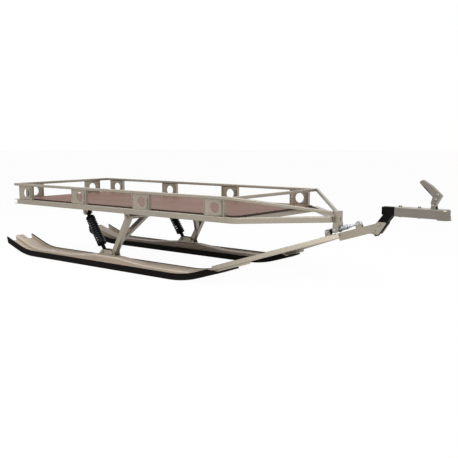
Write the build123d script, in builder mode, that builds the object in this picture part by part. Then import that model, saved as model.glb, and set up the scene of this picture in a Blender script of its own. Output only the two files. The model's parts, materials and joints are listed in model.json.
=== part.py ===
# Snowmobile trailer: a railed cargo bed, sprung on two long skis and towed by a ball coupling.
# Millimetres. +X runs forward to the coupling, +Y to the left, +Z up, and the snow is z = 0.
# The skis rest flat on the snow, the drawbar is raised and the coupling handle stands open.
import os
from math import asin, atan2, cos, degrees, hypot, radians, sin, tan

from build123d import *

os.makedirs("parts", exist_ok=True)

# Cargo bed
bed_length = 1800
bed_width = 800
deck_height = 320
rail_size = 30
rail_wall = 2.5
rail_bend = 55
floor_thickness = 12
floor_gap = 1.5
floor_ledge = 5
channel_wall = 3

# Railing: plates with a lashing hole between the frame and a top tube
post_height = 86
post_width = 130
post_depth = 20
post_wall = 4
lashing_hole = 57
top_tube = 16
first_post = 118
last_post = 117
side_posts = 4
rear_post_inset = 153

# Nose of the frame
nose_length = 381
nose_meet_out = 7
headstock_depth = 30
headstock_width = 40
headstock_drop = 14
headstock_rise = 57
headstock_slot = (8, 21)
nose_rail_drop = 11
lug_thickness = 6
lug_width = 34
lug_lap = 13

# Skis: distances behind are from the bed's front, the wall's dip from the start of the tip's straight run
ski_inset = 56
ski_width = 200
ski_wall = 8
ski_sole = 8
ski_depth = 35
tail_reach = 43
tail_angle = 19
tail_radius = 480
tail_bend_from = 230
tip_radius = 700
tip_bend_behind = 390
tip_behind = 57
tip_width = 40
tip_shift = 55
tip_taper = 137
wall_dip_ahead = 8
wall_dip_length = 44
lining_wall = 3
lining_behind = 200
lining_edge = 3
rib_width = 66
rib_height = 37
rib_round = 9
rib_run_out = 140
hump_height = 58
hump_length = 195
hump_ramp = 220

# Suspension
suspension_x = 838
saddle_length = 140
saddle_wall = 5
saddle_inside = 36
pin_radius = 7
pin_gap = 0.2
pin_head = (11, 5)
plate_margin = 6
shock_foot = (-35, 22)
shock_top_x = 655
shock_drop = 21
shock_eye = 14
shock_eye_width = 30
shock_body_radius = 16
shock_rod_radius = 6
shock_foot_radius = 11
seat_radius = 27
seat_thickness = 6
seat_from_top = 36
seat_from_foot = 52
body_share = 0.6
spring_radius = 23
spring_wire = 8
spring_turns = 12
wire_side_count = 6
arm_foot = (48, 20)
arm_pivot_x = 1014
arm_drop = 21
arm_tube = 30
arm_brace = 25
arm_bush = 13
bush_gap = 0.5
arm_spread = 137
arm_branch = 0.3
pivot_tube = 15
pivot_overhang = 18
hanger_thickness = 6
hanger_width = 44
gusset_thickness = 4
gusset_share = 0.5

# Drawbar
leg_tube = 26
leg_wall = 2.5
leg_hollow_share = 0.8
leg_behind = 172
apex_beyond = 9
apex_drop = 71
bar_angle = 17.4
bar_tube = 40
bar_wall = 3
bar_hole = (3, 7, 4.5)
shoe_thickness = 11
shoe_ahead = 22
shoe_length = 174
shoe_toe = 2
hitch_reach = 216
hitch_plate = 6
plate_round = 5
hitch_bolts = (-24, 17)
bolt_radius = 6
bolt_head = (8, 6)

# Neck and ball coupling
neck_tube = 38
neck_wall = 3
neck_angle = 52.5
neck_rise = 81.5
neck_behind = 46
neck_foot = 43
neck_clearance = 2
neck_reach = 255.3
ball_radius = 25
ball_drop = 4
socket_gap = 0.5
coupling_wall = 3.5
coupling_length = 234
coupling_gap = 0.5
socket_wall = 5.5
dome_step = 2
coupling_skirt = 8
rim_width = 2.5
rim_thickness = 4
coupling_round = 8
coupling_bolts = (214, 119)
handle_pivot = (-48, 15)
handle_width = 24
handle_wall = 3
handle_pin = 4
handle_foot = 9
handle_round = 5
ear_thickness = 4
ear_radius = 9
ear_foot = 23
ear_gap = 1.5

# Tow damper above the drawbar
damper_height = 40
damper_back = -71.4
damper_front = 110.6
damper_slide = -13.4
damper_rod = 6
damper_eye = 15
damper_eye_width = 14
slider_radius = 13
slider_length = 50
buffer_radius = 12
buffer_gap = 2
damper_spring_length = 38
damper_spring_turns = 5
damper_spring_wire = 4
nut_length = 8
tab_thickness = 5
tab_radius = 13
tab_foot = 33
gusset_length = 80

# Heights and widths worked out from the sizes
SIDES = (("right", -1), ("left", 1))
bed_half = bed_width / 2
rail_top = deck_height + rail_size
rail_mid = deck_height + rail_size / 2
rail_y = bed_half - rail_size / 2
ledge_top = rail_top - floor_ledge
inner_half = bed_half - rail_size
floor_top = ledge_top + floor_thickness
top_mid = rail_top + post_height + top_tube / 2
headstock_low = deck_height - headstock_drop
headstock_top = deck_height + headstock_rise
ski_y = bed_half - ski_inset
ski_half = ski_width / 2
tail_run = radians(tail_angle)
neck_run = radians(neck_angle)
bar_run = radians(bar_angle)

# The drawbar's legs lie on the ski tips, so the tips turn up at the slope that brings them to the apex,
# where the legs' tops are level with the top of the bar
apex_ahead = nose_length + apex_beyond
leg_rise = (bar_tube - leg_tube) / 2
apex_z = deck_height - apex_drop
leg_lift = ski_sole + shoe_thickness + leg_tube / 2
bend_to_apex = tip_bend_behind + apex_ahead
rise_to_apex = apex_z + leg_rise - tip_radius
tip_run = atan2(rise_to_apex, bend_to_apex) + asin(
    (tip_radius - leg_lift) / hypot(bend_to_apex, rise_to_apex)
)

# Lengths from the bed's rear; the origin is under the middle of the whole trailer
knee_ahead = apex_ahead + hitch_reach * cos(bar_run) + neck_rise / tan(neck_run)
ball_ahead = knee_ahead + neck_reach
coupling_front = bed_length + ball_ahead + ball_radius + socket_wall + rim_width
bed_rear = -(coupling_front - tail_reach) / 2
bed_front = bed_rear + bed_length
headstock_front = bed_front + nose_length
headstock_back = headstock_front - headstock_depth
apex_x = bed_front + apex_ahead
ball_x = bed_front + ball_ahead
tip_bend_x = bed_front - tip_bend_behind
run_from_x = tip_bend_x + tip_radius * sin(tip_run)
tip_end = bed_front - tip_behind
lining_end = bed_front - lining_behind
saddle_x = bed_rear + suspension_x


def side_plane(y):
    """Sketch plane at a given y, with X across and Z up."""
    return Plane.XZ.offset(-y)


def sole_height(x):
    """Height of the ski's underside on its straight front run."""
    run_z = tip_radius * (1 - cos(tip_run))
    return run_z + (x - run_from_x) * tan(tip_run)


def ski_side(low, high):
    """Face between two lines that lie low and high above the ski's sole, seen from the side."""
    front_end = tip_end + ski_depth
    tail_x = bed_rear + tail_bend_from
    tail_end = bed_rear - tail_reach + max(ski_depth, rib_height) * sin(tail_run)

    def corners(lift):
        tail_arc = tail_radius - lift
        tip_arc = tip_radius - lift
        tail_from = (tail_x - tail_arc * sin(tail_run), tail_radius - tail_arc * cos(tail_run))
        tip_from = (tip_bend_x + tip_arc * sin(tip_run), tip_radius - tip_arc * cos(tip_run))
        end_x = tail_end - lift * sin(tail_run)
        tail = (end_x, tail_from[1] + (tail_from[0] - end_x) * tan(tail_run))
        tip = (front_end, tip_from[1] + (front_end - tip_from[0]) * tan(tip_run))
        return tail, tail_from, (tail_x, lift), (tip_bend_x, lift), tip_from, tip

    with BuildSketch(mode=Mode.PRIVATE) as outline:
        with BuildLine():
            ends = []
            for lift in (low, high):
                tail, tail_from, flat_from, flat_to, tip_from, tip = corners(lift)
                Line(tail, tail_from)
                TangentArc(flat_from, tail_from, tangent=(-1, 0))
                Line(flat_from, flat_to)
                TangentArc(flat_to, tip_from, tangent=(1, 0))
                Line(tip_from, tip)
                ends.append((tail, tip))
            Line(ends[0][0], ends[1][0])
            Line(ends[0][1], ends[1][1])
        make_face()
    return outline.sketch


def ski_plan(side, inset, front_end):
    """Outline of a ski from above, drawn in from its edge; the tip narrows towards the middle."""
    back = bed_rear - tail_reach
    taper_from = tip_end - tip_taper
    half = ski_half - inset
    tip_half = tip_width / 2 - inset / 2
    tip_middle = ski_y - tip_shift
    points = [(back, ski_y - half), (back, ski_y + half), (min(taper_from, front_end), ski_y + half)]
    if front_end > taper_from:
        points.append((front_end, tip_middle + tip_half))
        points.append((front_end, tip_middle - tip_half))
    points.append((min(taper_from, front_end), ski_y - half))
    with BuildSketch(mode=Mode.PRIVATE) as outline:
        with BuildLine():
            Polyline(*[(x, side * y) for x, y in points], close=True)
        make_face()
    return outline.sketch


def bar_point(along, lift, across=0):
    """Point in the drawbar's sloping plane: along it from the apex, above it and across it."""
    return bar_plane.from_local_coords(Vector(along, across, lift))


def cross_pin(x, z, y_from, y_to, radius, head_radius, head):
    """Pin along Y with a round head outside each end, added to the active part."""
    middle = (y_from + y_to) / 2
    length = abs(y_to - y_from)
    with Locations(Location((x, middle, z), (90, 0, 0))):
        Cylinder(radius, length)
    for end in (-1, 1):
        with Locations(Location((x, middle + end * (length + head) / 2, z), (90, 0, 0))):
            Cylinder(head_radius, head)


def cross_bore(x, z, radius, length=4 * bed_width):
    """Round hole along Y through the active part."""
    with Locations(Location((x, 0, z), (90, 0, 0))):
        Cylinder(radius, length, mode=Mode.SUBTRACT)


def save(piece, name):
    """Name a finished piece and write it as one node."""
    piece.part.label = name
    export_step(piece.part, f"parts/{name}.step")


# Frame rails: each side rail bends at the front corner and runs to the headstock
nose_meet = headstock_width / 2 + nose_meet_out
nose_over = 1 + 2 * rail_size / (headstock_back - bed_front)
nose_turn = atan2(rail_y - nose_meet, headstock_back - bed_front)
corner_cut = rail_bend * tan(nose_turn / 2)
for side, sign in SIDES:
    with BuildPart() as side_rail:
        with BuildLine() as route:
            FilletPolyline(
                (bed_rear + rail_size, sign * rail_y, rail_mid),
                (bed_front, sign * rail_y, rail_mid),
                (
                    bed_front + nose_over * (headstock_back - bed_front),
                    sign * (rail_y - nose_over * (rail_y - nose_meet)),
                    rail_mid,
                ),
                radius=rail_bend,
            )
        with BuildSketch(Plane(route.line @ 0, x_dir=(0, 1, 0), z_dir=(1, 0, 0))):
            Rectangle(rail_size, rail_size)
            Rectangle(rail_size - 2 * rail_wall, rail_size - 2 * rail_wall, mode=Mode.SUBTRACT)
        sweep(path=route.wires()[0])
        split(bisect_by=Plane((headstock_back, 0, 0), z_dir=(-1, 0, 0)), keep=Keep.TOP)
    save(side_rail, f"side_rail_{side}")

with BuildPart() as rear_channel:
    with BuildSketch(Plane.XZ):
        with Locations((bed_rear, deck_height)):
            Rectangle(rail_size, rail_size, align=(Align.MIN, Align.MIN))
        with Locations((bed_rear, deck_height + channel_wall)):
            Rectangle(
                rail_size - channel_wall,
                rail_size - 2 * channel_wall,
                align=(Align.MIN, Align.MIN),
                mode=Mode.SUBTRACT,
            )
    extrude(amount=bed_half, both=True)
save(rear_channel, "rear_channel")

# Cross members under the floor: name and distance of the middle from the bed's rear
CROSS_MEMBERS = (
    ("shock_cross_member", shock_top_x),
    ("arm_cross_member", arm_pivot_x),
    ("front_cross_member", bed_length - rail_size / 2),
)
for name, place in CROSS_MEMBERS:
    with BuildPart() as cross_member:
        with Locations((bed_rear + place, 0, deck_height)):
            Box(
                rail_size,
                2 * inner_half,
                rail_size - floor_ledge,
                align=(Align.CENTER, Align.CENTER, Align.MIN),
            )
        if place + rail_size / 2 > bed_length - corner_cut:
            chamfer(cross_member.edges().filter_by(Axis.Z).group_by(Axis.X)[-1], corner_cut)
    save(cross_member, name)

with BuildPart() as floor_panel:
    with Locations((bed_rear + rail_size + floor_gap, 0, ledge_top)):
        Box(
            bed_length - rail_size - floor_gap,
            2 * (inner_half - floor_gap),
            floor_thickness,
            align=(Align.MIN, Align.CENTER, Align.MIN),
        )
    chamfer(floor_panel.edges().filter_by(Axis.Z).group_by(Axis.X)[-1], corner_cut)
save(floor_panel, "floor_panel")

# Railing plates, flanged at both ends: name, direction along the rail with the bed on its left, places
post_pitch = (bed_length - first_post - last_post) / (side_posts - 1)
side_post_x = [bed_rear + first_post + post_pitch * number for number in range(side_posts)]
rear_post_y = bed_half - rear_post_inset
POSTS = (
    ("posts_right", (1, 0, 0), [(x, -bed_half) for x in side_post_x]),
    ("posts_left", (-1, 0, 0), [(x, bed_half) for x in side_post_x]),
    ("posts_rear", (0, -1, 0), [(bed_rear, y) for y in (-rear_post_y, rear_post_y)]),
)
for name, along_rail, places in POSTS:
    with BuildPart() as posts:
        for x, y in places:
            foot_plane = Plane((x, y, rail_top), x_dir=along_rail, z_dir=(0, 0, 1))
            with BuildSketch(foot_plane):
                with Locations((0, post_depth / 2)):
                    Rectangle(post_width, post_wall)
                with Locations(*[(end * (post_width - post_wall) / 2, 0) for end in (-1, 1)]):
                    Rectangle(post_wall, post_depth, align=(Align.CENTER, Align.MIN))
            extrude(amount=post_height)
            web_middle = foot_plane.from_local_coords(Vector(0, post_depth / 2, post_height / 2))
            with BuildSketch(Plane(web_middle, x_dir=along_rail, z_dir=foot_plane.y_dir)):
                Circle(lashing_hole / 2)
            extrude(amount=post_wall, both=True, mode=Mode.SUBTRACT)
    save(posts, name)

# Top tubes: one mitred round the sides and rear, one across the front, two down to the headstock
top_y = bed_half - top_tube / 2
with BuildPart() as top_rail:
    with BuildLine() as route:
        Polyline(
            (bed_front, -top_y, top_mid),
            (bed_rear + top_tube / 2, -top_y, top_mid),
            (bed_rear + top_tube / 2, top_y, top_mid),
            (bed_front, top_y, top_mid),
        )
    with BuildSketch(Plane(route.line @ 0, x_dir=(0, 1, 0), z_dir=(-1, 0, 0))):
        Rectangle(top_tube, top_tube)
    sweep(path=route.wires()[0], transition=Transition.RIGHT)
save(top_rail, "top_rail")

with BuildPart() as top_rail_front:
    with Locations((bed_front - top_tube / 2, 0, top_mid)):
        Box(top_tube, bed_width - 2 * top_tube, top_tube)
save(top_rail_front, "top_rail_front")

for side, sign in SIDES:
    nose_from = Vector(bed_front, sign * top_y, top_mid)
    nose_to = Vector(headstock_back, sign * headstock_width * 0.4, headstock_top - nose_rail_drop)
    with BuildPart() as nose_rail:
        with BuildSketch(Plane(nose_from, x_dir=(0, 1, 0), z_dir=nose_to - nose_from)):
            Rectangle(top_tube, top_tube)
        extrude(amount=(nose_to - nose_from).length + 2 * top_tube)
        extrude(nose_rail.faces().sort_by(Axis.X)[0], amount=2 * top_tube)
        split(bisect_by=Plane((headstock_back, 0, 0), z_dir=(-1, 0, 0)), keep=Keep.TOP)
        split(bisect_by=Plane((bed_front, 0, 0), z_dir=(1, 0, 0)), keep=Keep.TOP)
    save(nose_rail, f"nose_rail_{side}")

with BuildPart() as headstock:
    with Locations((headstock_back, 0, headstock_low)):
        Box(
            headstock_depth,
            headstock_width,
            headstock_top - headstock_low,
            align=(Align.MIN, Align.CENTER, Align.MIN),
        )
    with BuildSketch(Plane((headstock_front, 0, rail_mid), x_dir=(0, 0, 1), z_dir=(1, 0, 0))):
        SlotOverall(headstock_slot[1], headstock_slot[0])
    extrude(amount=-headstock_depth, mode=Mode.SUBTRACT)
save(headstock, "headstock")

# Drawbar: two legs on the ski tips that meet at an apex, then one bar to the coupling
leg_x = bed_front - leg_behind
slope = Vector(cos(bar_run), 0, sin(bar_run))
bar_plane = Plane((apex_x, 0, apex_z), x_dir=slope, z_dir=(-sin(bar_run), 0, cos(bar_run)))
leg_slope = Vector(cos(tip_run), 0, sin(tip_run))
leg_top = (-sin(tip_run), 0, cos(tip_run))
leg_plane = Plane((apex_x, 0, apex_z + leg_rise), x_dir=leg_slope, z_dir=leg_top)
leg_run = (apex_x - leg_x) / cos(tip_run)
leg_turn = ski_y / leg_run
leg_length = hypot(leg_run, ski_y)
leg_half_across = leg_tube / 2 * leg_length / leg_run
bar_back = -(bar_tube / 2 - leg_half_across) / leg_turn

for side, sign in SIDES:
    along = Vector(leg_run, -sign * ski_y) / leg_length
    across = Vector(along.Y, -along.X) * sign * leg_tube / 2
    foot = Vector(-leg_run, sign * ski_y)
    leg_angle = degrees(atan2(along.Y, along.X))
    with BuildPart() as leg:
        with BuildSketch(leg_plane):
            with BuildLine():
                outer = foot - across
                inner = foot + across
                Polyline(
                    (outer.X, outer.Y),
                    (inner.X, inner.Y),
                    (-leg_half_across / leg_turn, 0),
                    (bar_back, 0),
                    (bar_back, sign * bar_tube / 2),
                    close=True,
                )
            make_face()
        extrude(amount=leg_tube / 2, both=True)
        with BuildSketch(leg_plane):
            hollow = foot + along * leg_length * leg_hollow_share / 2
            with Locations(Location((hollow.X, hollow.Y), leg_angle)):
                Rectangle(leg_length * leg_hollow_share + leg_wall, leg_tube - 2 * leg_wall)
        extrude(amount=leg_tube / 2 - leg_wall, both=True, mode=Mode.SUBTRACT)
    save(leg, f"drawbar_leg_{side}")

    with BuildPart() as tow_shoe:
        with BuildSketch(leg_plane.offset(-leg_tube / 2)):
            shoe_from = (run_from_x + shoe_ahead - leg_x) / (cos(tip_run) * along.X)
            middle = foot + along * (shoe_from + shoe_length / 2)
            with Locations(Location((middle.X, middle.Y), leg_angle)):
                Rectangle(shoe_length, leg_tube)
        extrude(amount=-shoe_thickness)
        toe = tow_shoe.faces().sort_by(Axis.X)[-1]
        chamfer(toe.edges().sort_by(Axis.Z)[0], shoe_thickness - shoe_toe)
    save(tow_shoe, f"tow_shoe_{side}")

hitch = bar_point(hitch_reach, 0)
neck_along = Vector(cos(neck_run), 0, sin(neck_run))
neck_plane = Plane(hitch, x_dir=(0, 1, 0), z_dir=neck_along)
with BuildPart() as main_bar:
    with BuildSketch(Plane(bar_point(bar_back - bar_tube, 0), x_dir=(0, 1, 0), z_dir=slope)):
        Rectangle(bar_tube, bar_tube)
        Rectangle(bar_tube - 2 * bar_wall, bar_tube - 2 * bar_wall, mode=Mode.SUBTRACT)
    extrude(amount=hitch_reach - bar_back + 2 * bar_tube)
    leg_end = leg_plane.from_local_coords(Vector(bar_back, 0, 0))
    split(bisect_by=Plane(leg_end, x_dir=(0, 1, 0), z_dir=leg_slope), keep=Keep.TOP)
    neck_back = hitch - Vector(sin(neck_run), 0, -cos(neck_run)) * (neck_tube / 2 + neck_clearance)
    split(
        bisect_by=Plane(neck_back, x_dir=(0, 1, 0), z_dir=(-sin(neck_run), 0, cos(neck_run))),
        keep=Keep.TOP,
    )
    side_hole = bar_point(bar_hole[0], bar_hole[1])
    cross_bore(side_hole.X, side_hole.Z, bar_hole[2])
save(main_bar, "main_bar")

# Side plates that clamp the neck: corners forward of and above the hitch point
PLATE_CORNERS = ((-53, -34), (-4, 25), (47, 27), (4, -36))
bolt_points = [hitch + neck_along * step for step in hitch_bolts]
with BuildPart() as hitch_plates:
    for sign in (-1, 1):
        with BuildSketch(side_plane(sign * (bar_tube + hitch_plate) / 2)):
            with BuildLine():
                Polyline(*[(hitch.X + x, hitch.Z + z) for x, z in PLATE_CORNERS], close=True)
            make_face()
            fillet(vertices(), plate_round)
        extrude(amount=hitch_plate / 2, both=True)
    for point in bolt_points:
        cross_bore(point.X, point.Z, bolt_radius + pin_gap)
save(hitch_plates, "hitch_plates")

# Neck: an inclined leg between the plates and a level tube that enters the coupling
neck_z = hitch.Z + neck_rise
neck_knee = hitch + neck_along * (neck_rise / sin(neck_run))
neck_back_x = neck_knee.X - neck_behind
ball_z = neck_z - ball_drop
coupling_back = ball_x - coupling_length
neck_front = ball_x - ball_radius - socket_wall - 2 * neck_wall
with BuildPart() as neck:
    with BuildSketch(Plane(hitch - neck_along * neck_foot, x_dir=(0, 1, 0), z_dir=neck_along)):
        Rectangle(neck_tube, neck_tube)
    extrude(amount=neck_foot + neck_rise / sin(neck_run))
    with Locations((neck_back_x, 0, neck_z)):
        Box(
            neck_front - neck_back_x,
            neck_tube,
            neck_tube,
            align=(Align.MIN, Align.CENTER, Align.CENTER),
        )
    split(bisect_by=Plane((0, 0, neck_z + neck_tube / 2)), keep=Keep.BOTTOM)
    with BuildSketch(Plane(hitch - neck_along * neck_foot, x_dir=(0, 1, 0), z_dir=neck_along)):
        Rectangle(neck_tube - 2 * neck_wall, neck_tube - 2 * neck_wall)
    extrude(amount=neck_foot + neck_tube, mode=Mode.SUBTRACT)
    for point in bolt_points:
        cross_bore(point.X, point.Z, bolt_radius + pin_gap)
    for step in coupling_bolts:
        with Locations((ball_x - step, 0, neck_z)):
            Cylinder(bolt_radius + pin_gap, 2 * neck_tube, mode=Mode.SUBTRACT)
save(neck, "neck")

with BuildPart() as hitch_bolt_set:
    for point in bolt_points:
        reach = bar_tube / 2 + hitch_plate
        cross_pin(point.X, point.Z, -reach, reach, bolt_radius, bolt_head[0], bolt_head[1])
save(hitch_bolt_set, "hitch_bolts")

# Ball coupling: an inverted pressed channel that widens into a domed socket
coupling_top = neck_z + neck_tube / 2 + coupling_gap + coupling_wall
coupling_low = neck_z - neck_tube / 2 - coupling_skirt + rim_thickness
coupling_half = neck_tube / 2 + coupling_gap + coupling_wall
socket_outer = ball_radius + socket_wall
pivot_x = ball_x + handle_pivot[0]
pivot_z = coupling_top + handle_pivot[1] - ear_gap
with BuildPart() as coupling:
    with BuildSketch(Plane.XY.offset(coupling_low)):
        with Locations((ball_x, 0)):
            Circle(socket_outer - dome_step)
        with Locations((coupling_back, 0)):
            Rectangle(
                coupling_length - 2 * socket_outer,
                2 * coupling_half,
                align=(Align.MIN, Align.CENTER),
            )
        make_hull()
    extrude(amount=coupling_top - coupling_low)
    fillet(coupling.edges().group_by(Axis.Z)[-1], coupling_round)
    with Locations((ball_x, 0, coupling_top - socket_outer)):
        Sphere(socket_outer, arc_size1=0)
        Cylinder(
            socket_outer,
            coupling_top - socket_outer - coupling_low,
            align=(Align.CENTER, Align.CENTER, Align.MAX),
        )
    with BuildSketch(Plane.XY.offset(coupling_low - rim_thickness)):
        with Locations((ball_x, 0)):
            Circle(socket_outer + rim_width)
    extrude(amount=rim_thickness)
    with Locations((coupling_back, 0, coupling_top - coupling_wall)):
        Box(
            neck_front - coupling_back,
            neck_tube + 2 * coupling_gap,
            2 * neck_tube,
            align=(Align.MIN, Align.CENTER, Align.MAX),
            mode=Mode.SUBTRACT,
        )
    with Locations((ball_x, 0, ball_z)):
        Sphere(ball_radius + socket_gap, mode=Mode.SUBTRACT)
        Cylinder(
            ball_radius + socket_gap,
            2 * neck_tube,
            align=(Align.CENTER, Align.CENTER, Align.MAX),
            mode=Mode.SUBTRACT,
        )
    for step in coupling_bolts:
        with Locations((ball_x - step, 0, coupling_top)):
            Cylinder(bolt_radius + pin_gap, neck_tube, mode=Mode.SUBTRACT)
save(coupling, "coupling")

with BuildPart() as coupling_bolt_set:
    for step in coupling_bolts:
        shank = coupling_top - (neck_z - neck_tube / 2)
        with Locations((ball_x - step, 0, coupling_top)):
            Cylinder(bolt_radius, shank, align=(Align.CENTER, Align.CENTER, Align.MAX))
            Cylinder(bolt_head[0], bolt_head[1], align=(Align.CENTER, Align.CENTER, Align.MIN))
        with Locations((ball_x - step, 0, coupling_top - shank)):
            Cylinder(bolt_head[0], bolt_head[1], align=(Align.CENTER, Align.CENTER, Align.MAX))
save(coupling_bolt_set, "coupling_bolts")

# Handle ears on the coupling's top, with the pin that the handle turns on
ear_y = handle_width / 2 + ear_gap + ear_thickness / 2
with BuildPart() as handle_ears:
    for sign in (-1, 1):
        with BuildSketch(side_plane(sign * ear_y)):
            with Locations((pivot_x, pivot_z)):
                Circle(ear_radius)
            with Locations((pivot_x, coupling_top)):
                Rectangle(ear_foot, 1, align=(Align.CENTER, Align.MIN))
            make_hull()
        extrude(amount=ear_thickness / 2, both=True)
    with Locations(Location((pivot_x, 0, pivot_z), (90, 0, 0))):
        Cylinder(handle_pin, 2 * ear_y + 2 * ear_thickness)
save(handle_ears, "handle_ears")

# Handle: a pressed lever, cranked forward and then back; points from the pivot
HANDLE_BACK = ((-9, -2), (-14, 14), (-6, 40), (-37, 77), (-74, 105))
HANDLE_FRONT = ((-58, 117), (-13, 90), (36, 47), (17, 14), (9, -2))
with BuildPart() as coupling_handle:
    with BuildSketch(side_plane(0)):
        with BuildLine():
            Polyline(*[(pivot_x + x, pivot_z + z) for x, z in HANDLE_BACK + HANDLE_FRONT], close=True)
        make_face()
        fillet(vertices(), handle_round)
        with Locations((pivot_x, pivot_z)):
            Circle(handle_foot)
    extrude(amount=handle_width / 2, both=True)
    for back_shift in (0, -2 * handle_wall):
        with BuildSketch(side_plane(0)):
            with BuildLine():
                hollow = HANDLE_BACK[2:] + HANDLE_FRONT[:3]
                Polyline(*[(pivot_x + back_shift + x, pivot_z + z) for x, z in hollow], close=True)
            make_face()
            offset(amount=-handle_wall, kind=Kind.INTERSECTION, mode=Mode.REPLACE)
        extrude(amount=handle_width / 2 - handle_wall, both=True, mode=Mode.SUBTRACT)
    cross_bore(pivot_x, pivot_z, handle_pin + pin_gap)
save(coupling_handle, "coupling_handle")

# Tow damper: a sprung rod along the bar that slides through a block between the nose lugs
slide_point = bar_point(damper_slide, damper_height)
lug_y = (headstock_width + lug_thickness) / 2
with BuildPart() as nose_lugs:
    for sign in (-1, 1):
        with BuildSketch(side_plane(sign * lug_y)):
            with Locations((slide_point.X, slide_point.Z)):
                Circle(lug_width / 2)
            with Locations((headstock_back + headstock_depth / 2, headstock_low + lug_lap)):
                Rectangle(headstock_depth, lug_lap, align=(Align.CENTER, Align.MAX))
            make_hull()
        extrude(amount=lug_thickness / 2, both=True)
    cross_bore(slide_point.X, slide_point.Z, bolt_radius + pin_gap)
save(nose_lugs, "nose_lugs")

damper_axis = Plane(bar_point(damper_slide, damper_height), x_dir=(0, 1, 0), z_dir=slope)
with BuildPart(damper_axis) as damper_slider:
    Cylinder(slider_radius, slider_length)
    Cylinder(damper_rod + pin_gap, 2 * slider_length, mode=Mode.SUBTRACT)
    with Locations(Location((0, 0, 0), (0, 90, 0))):
        Cylinder(bolt_radius, headstock_width + 2 * lug_thickness + 2 * nut_length)
    Cylinder(damper_rod + pin_gap, 2 * slider_length, mode=Mode.SUBTRACT)
save(damper_slider, "damper_slider")

slide_front = damper_slide + slider_length / 2
slide_back = damper_slide - slider_length / 2
buffer_length = slide_back - damper_back - damper_eye - buffer_gap
with BuildPart(damper_axis) as damper_link:
    back = damper_back - damper_slide
    front = damper_front - damper_slide
    with Locations((0, 0, (back + front) / 2)):
        Cylinder(damper_rod, front - back - 2 * damper_rod)
    for end in (back, front):
        with Locations(Location((0, 0, end), (0, 90, 0))):
            Cylinder(damper_eye, damper_eye_width)
    with Locations((0, 0, slider_length / 2 + damper_spring_length)):
        Cylinder(slider_radius, nut_length, align=(Align.CENTER, Align.CENTER, Align.MIN))
    for end in (back, front):
        with Locations(Location((0, 0, end), (0, 90, 0))):
            Cylinder(bolt_radius + pin_gap, 2 * damper_eye_width, mode=Mode.SUBTRACT)
save(damper_link, "damper_link")

with BuildPart(damper_axis) as damper_buffer:
    with Locations((0, 0, -slider_length / 2)):
        Cylinder(buffer_radius, buffer_length, align=(Align.CENTER, Align.CENTER, Align.MAX))
        Cylinder(damper_rod + pin_gap, 3 * buffer_length, mode=Mode.SUBTRACT)
save(damper_buffer, "damper_buffer")

with BuildPart() as damper_spring:
    coil_height = damper_spring_length - damper_spring_wire
    coil_from = bar_point(slide_front + damper_spring_wire / 2, damper_height)
    with BuildLine() as coil:
        Helix(
            pitch=coil_height / damper_spring_turns,
            height=coil_height,
            radius=slider_radius - damper_spring_wire / 2,
            center=coil_from,
            direction=slope,
        )
    with BuildSketch(Plane(coil.line @ 0, z_dir=coil.line % 0)):
        RegularPolygon(damper_spring_wire / 2, wire_side_count)
    sweep(path=coil.wires()[0], is_frenet=True)
save(damper_spring, "damper_spring")

# Tabs that hold the damper's eyes: name, place along the bar and the face that they stand on
eye_half = damper_eye_width / 2
leg_seat = leg_plane.offset(leg_tube / 2)
with BuildPart() as apex_gusset:
    with BuildSketch(leg_seat):
        with BuildLine():
            gusset_front = -leg_half_across / leg_turn
            gusset_back = gusset_front - gusset_length
            gusset_half = gusset_length * leg_turn
            Polyline(
                (gusset_front, 0),
                (gusset_back, gusset_half),
                (gusset_back, -gusset_half),
                close=True,
            )
        make_face()
    extrude(amount=-hitch_plate)
save(apex_gusset, "apex_gusset")

TABS = (
    ("damper_tabs_rear", damper_back, leg_seat),
    ("damper_tabs_front", damper_front, bar_plane.offset(bar_tube / 2)),
)
for name, place, seat in TABS:
    eye = bar_point(place, damper_height)
    eye_lift = seat.to_local_coords(eye).Z
    with BuildPart() as tabs:
        for sign in (-1, 1):
            inner_face = bar_point(place, damper_height, sign * (eye_half + pin_gap))
            with BuildSketch(Plane(inner_face, x_dir=seat.x_dir, z_dir=(0, -1, 0))):
                Circle(tab_radius)
                with Locations((0, -eye_lift)):
                    Rectangle(tab_foot, 1, align=(Align.CENTER, Align.MIN))
                make_hull()
            extrude(amount=-sign * tab_thickness)
        cross_bore(eye.X, eye.Z, bolt_radius + pin_gap)
    save(tabs, name)

with BuildPart() as damper_bolts:
    for place in (damper_back, damper_front):
        eye = bar_point(place, damper_height)
        reach = eye_half + pin_gap + tab_thickness
        cross_pin(eye.X, eye.Z, -reach, reach, bolt_radius, bolt_head[0], bolt_head[1])
save(damper_bolts, "damper_bolts")

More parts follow.
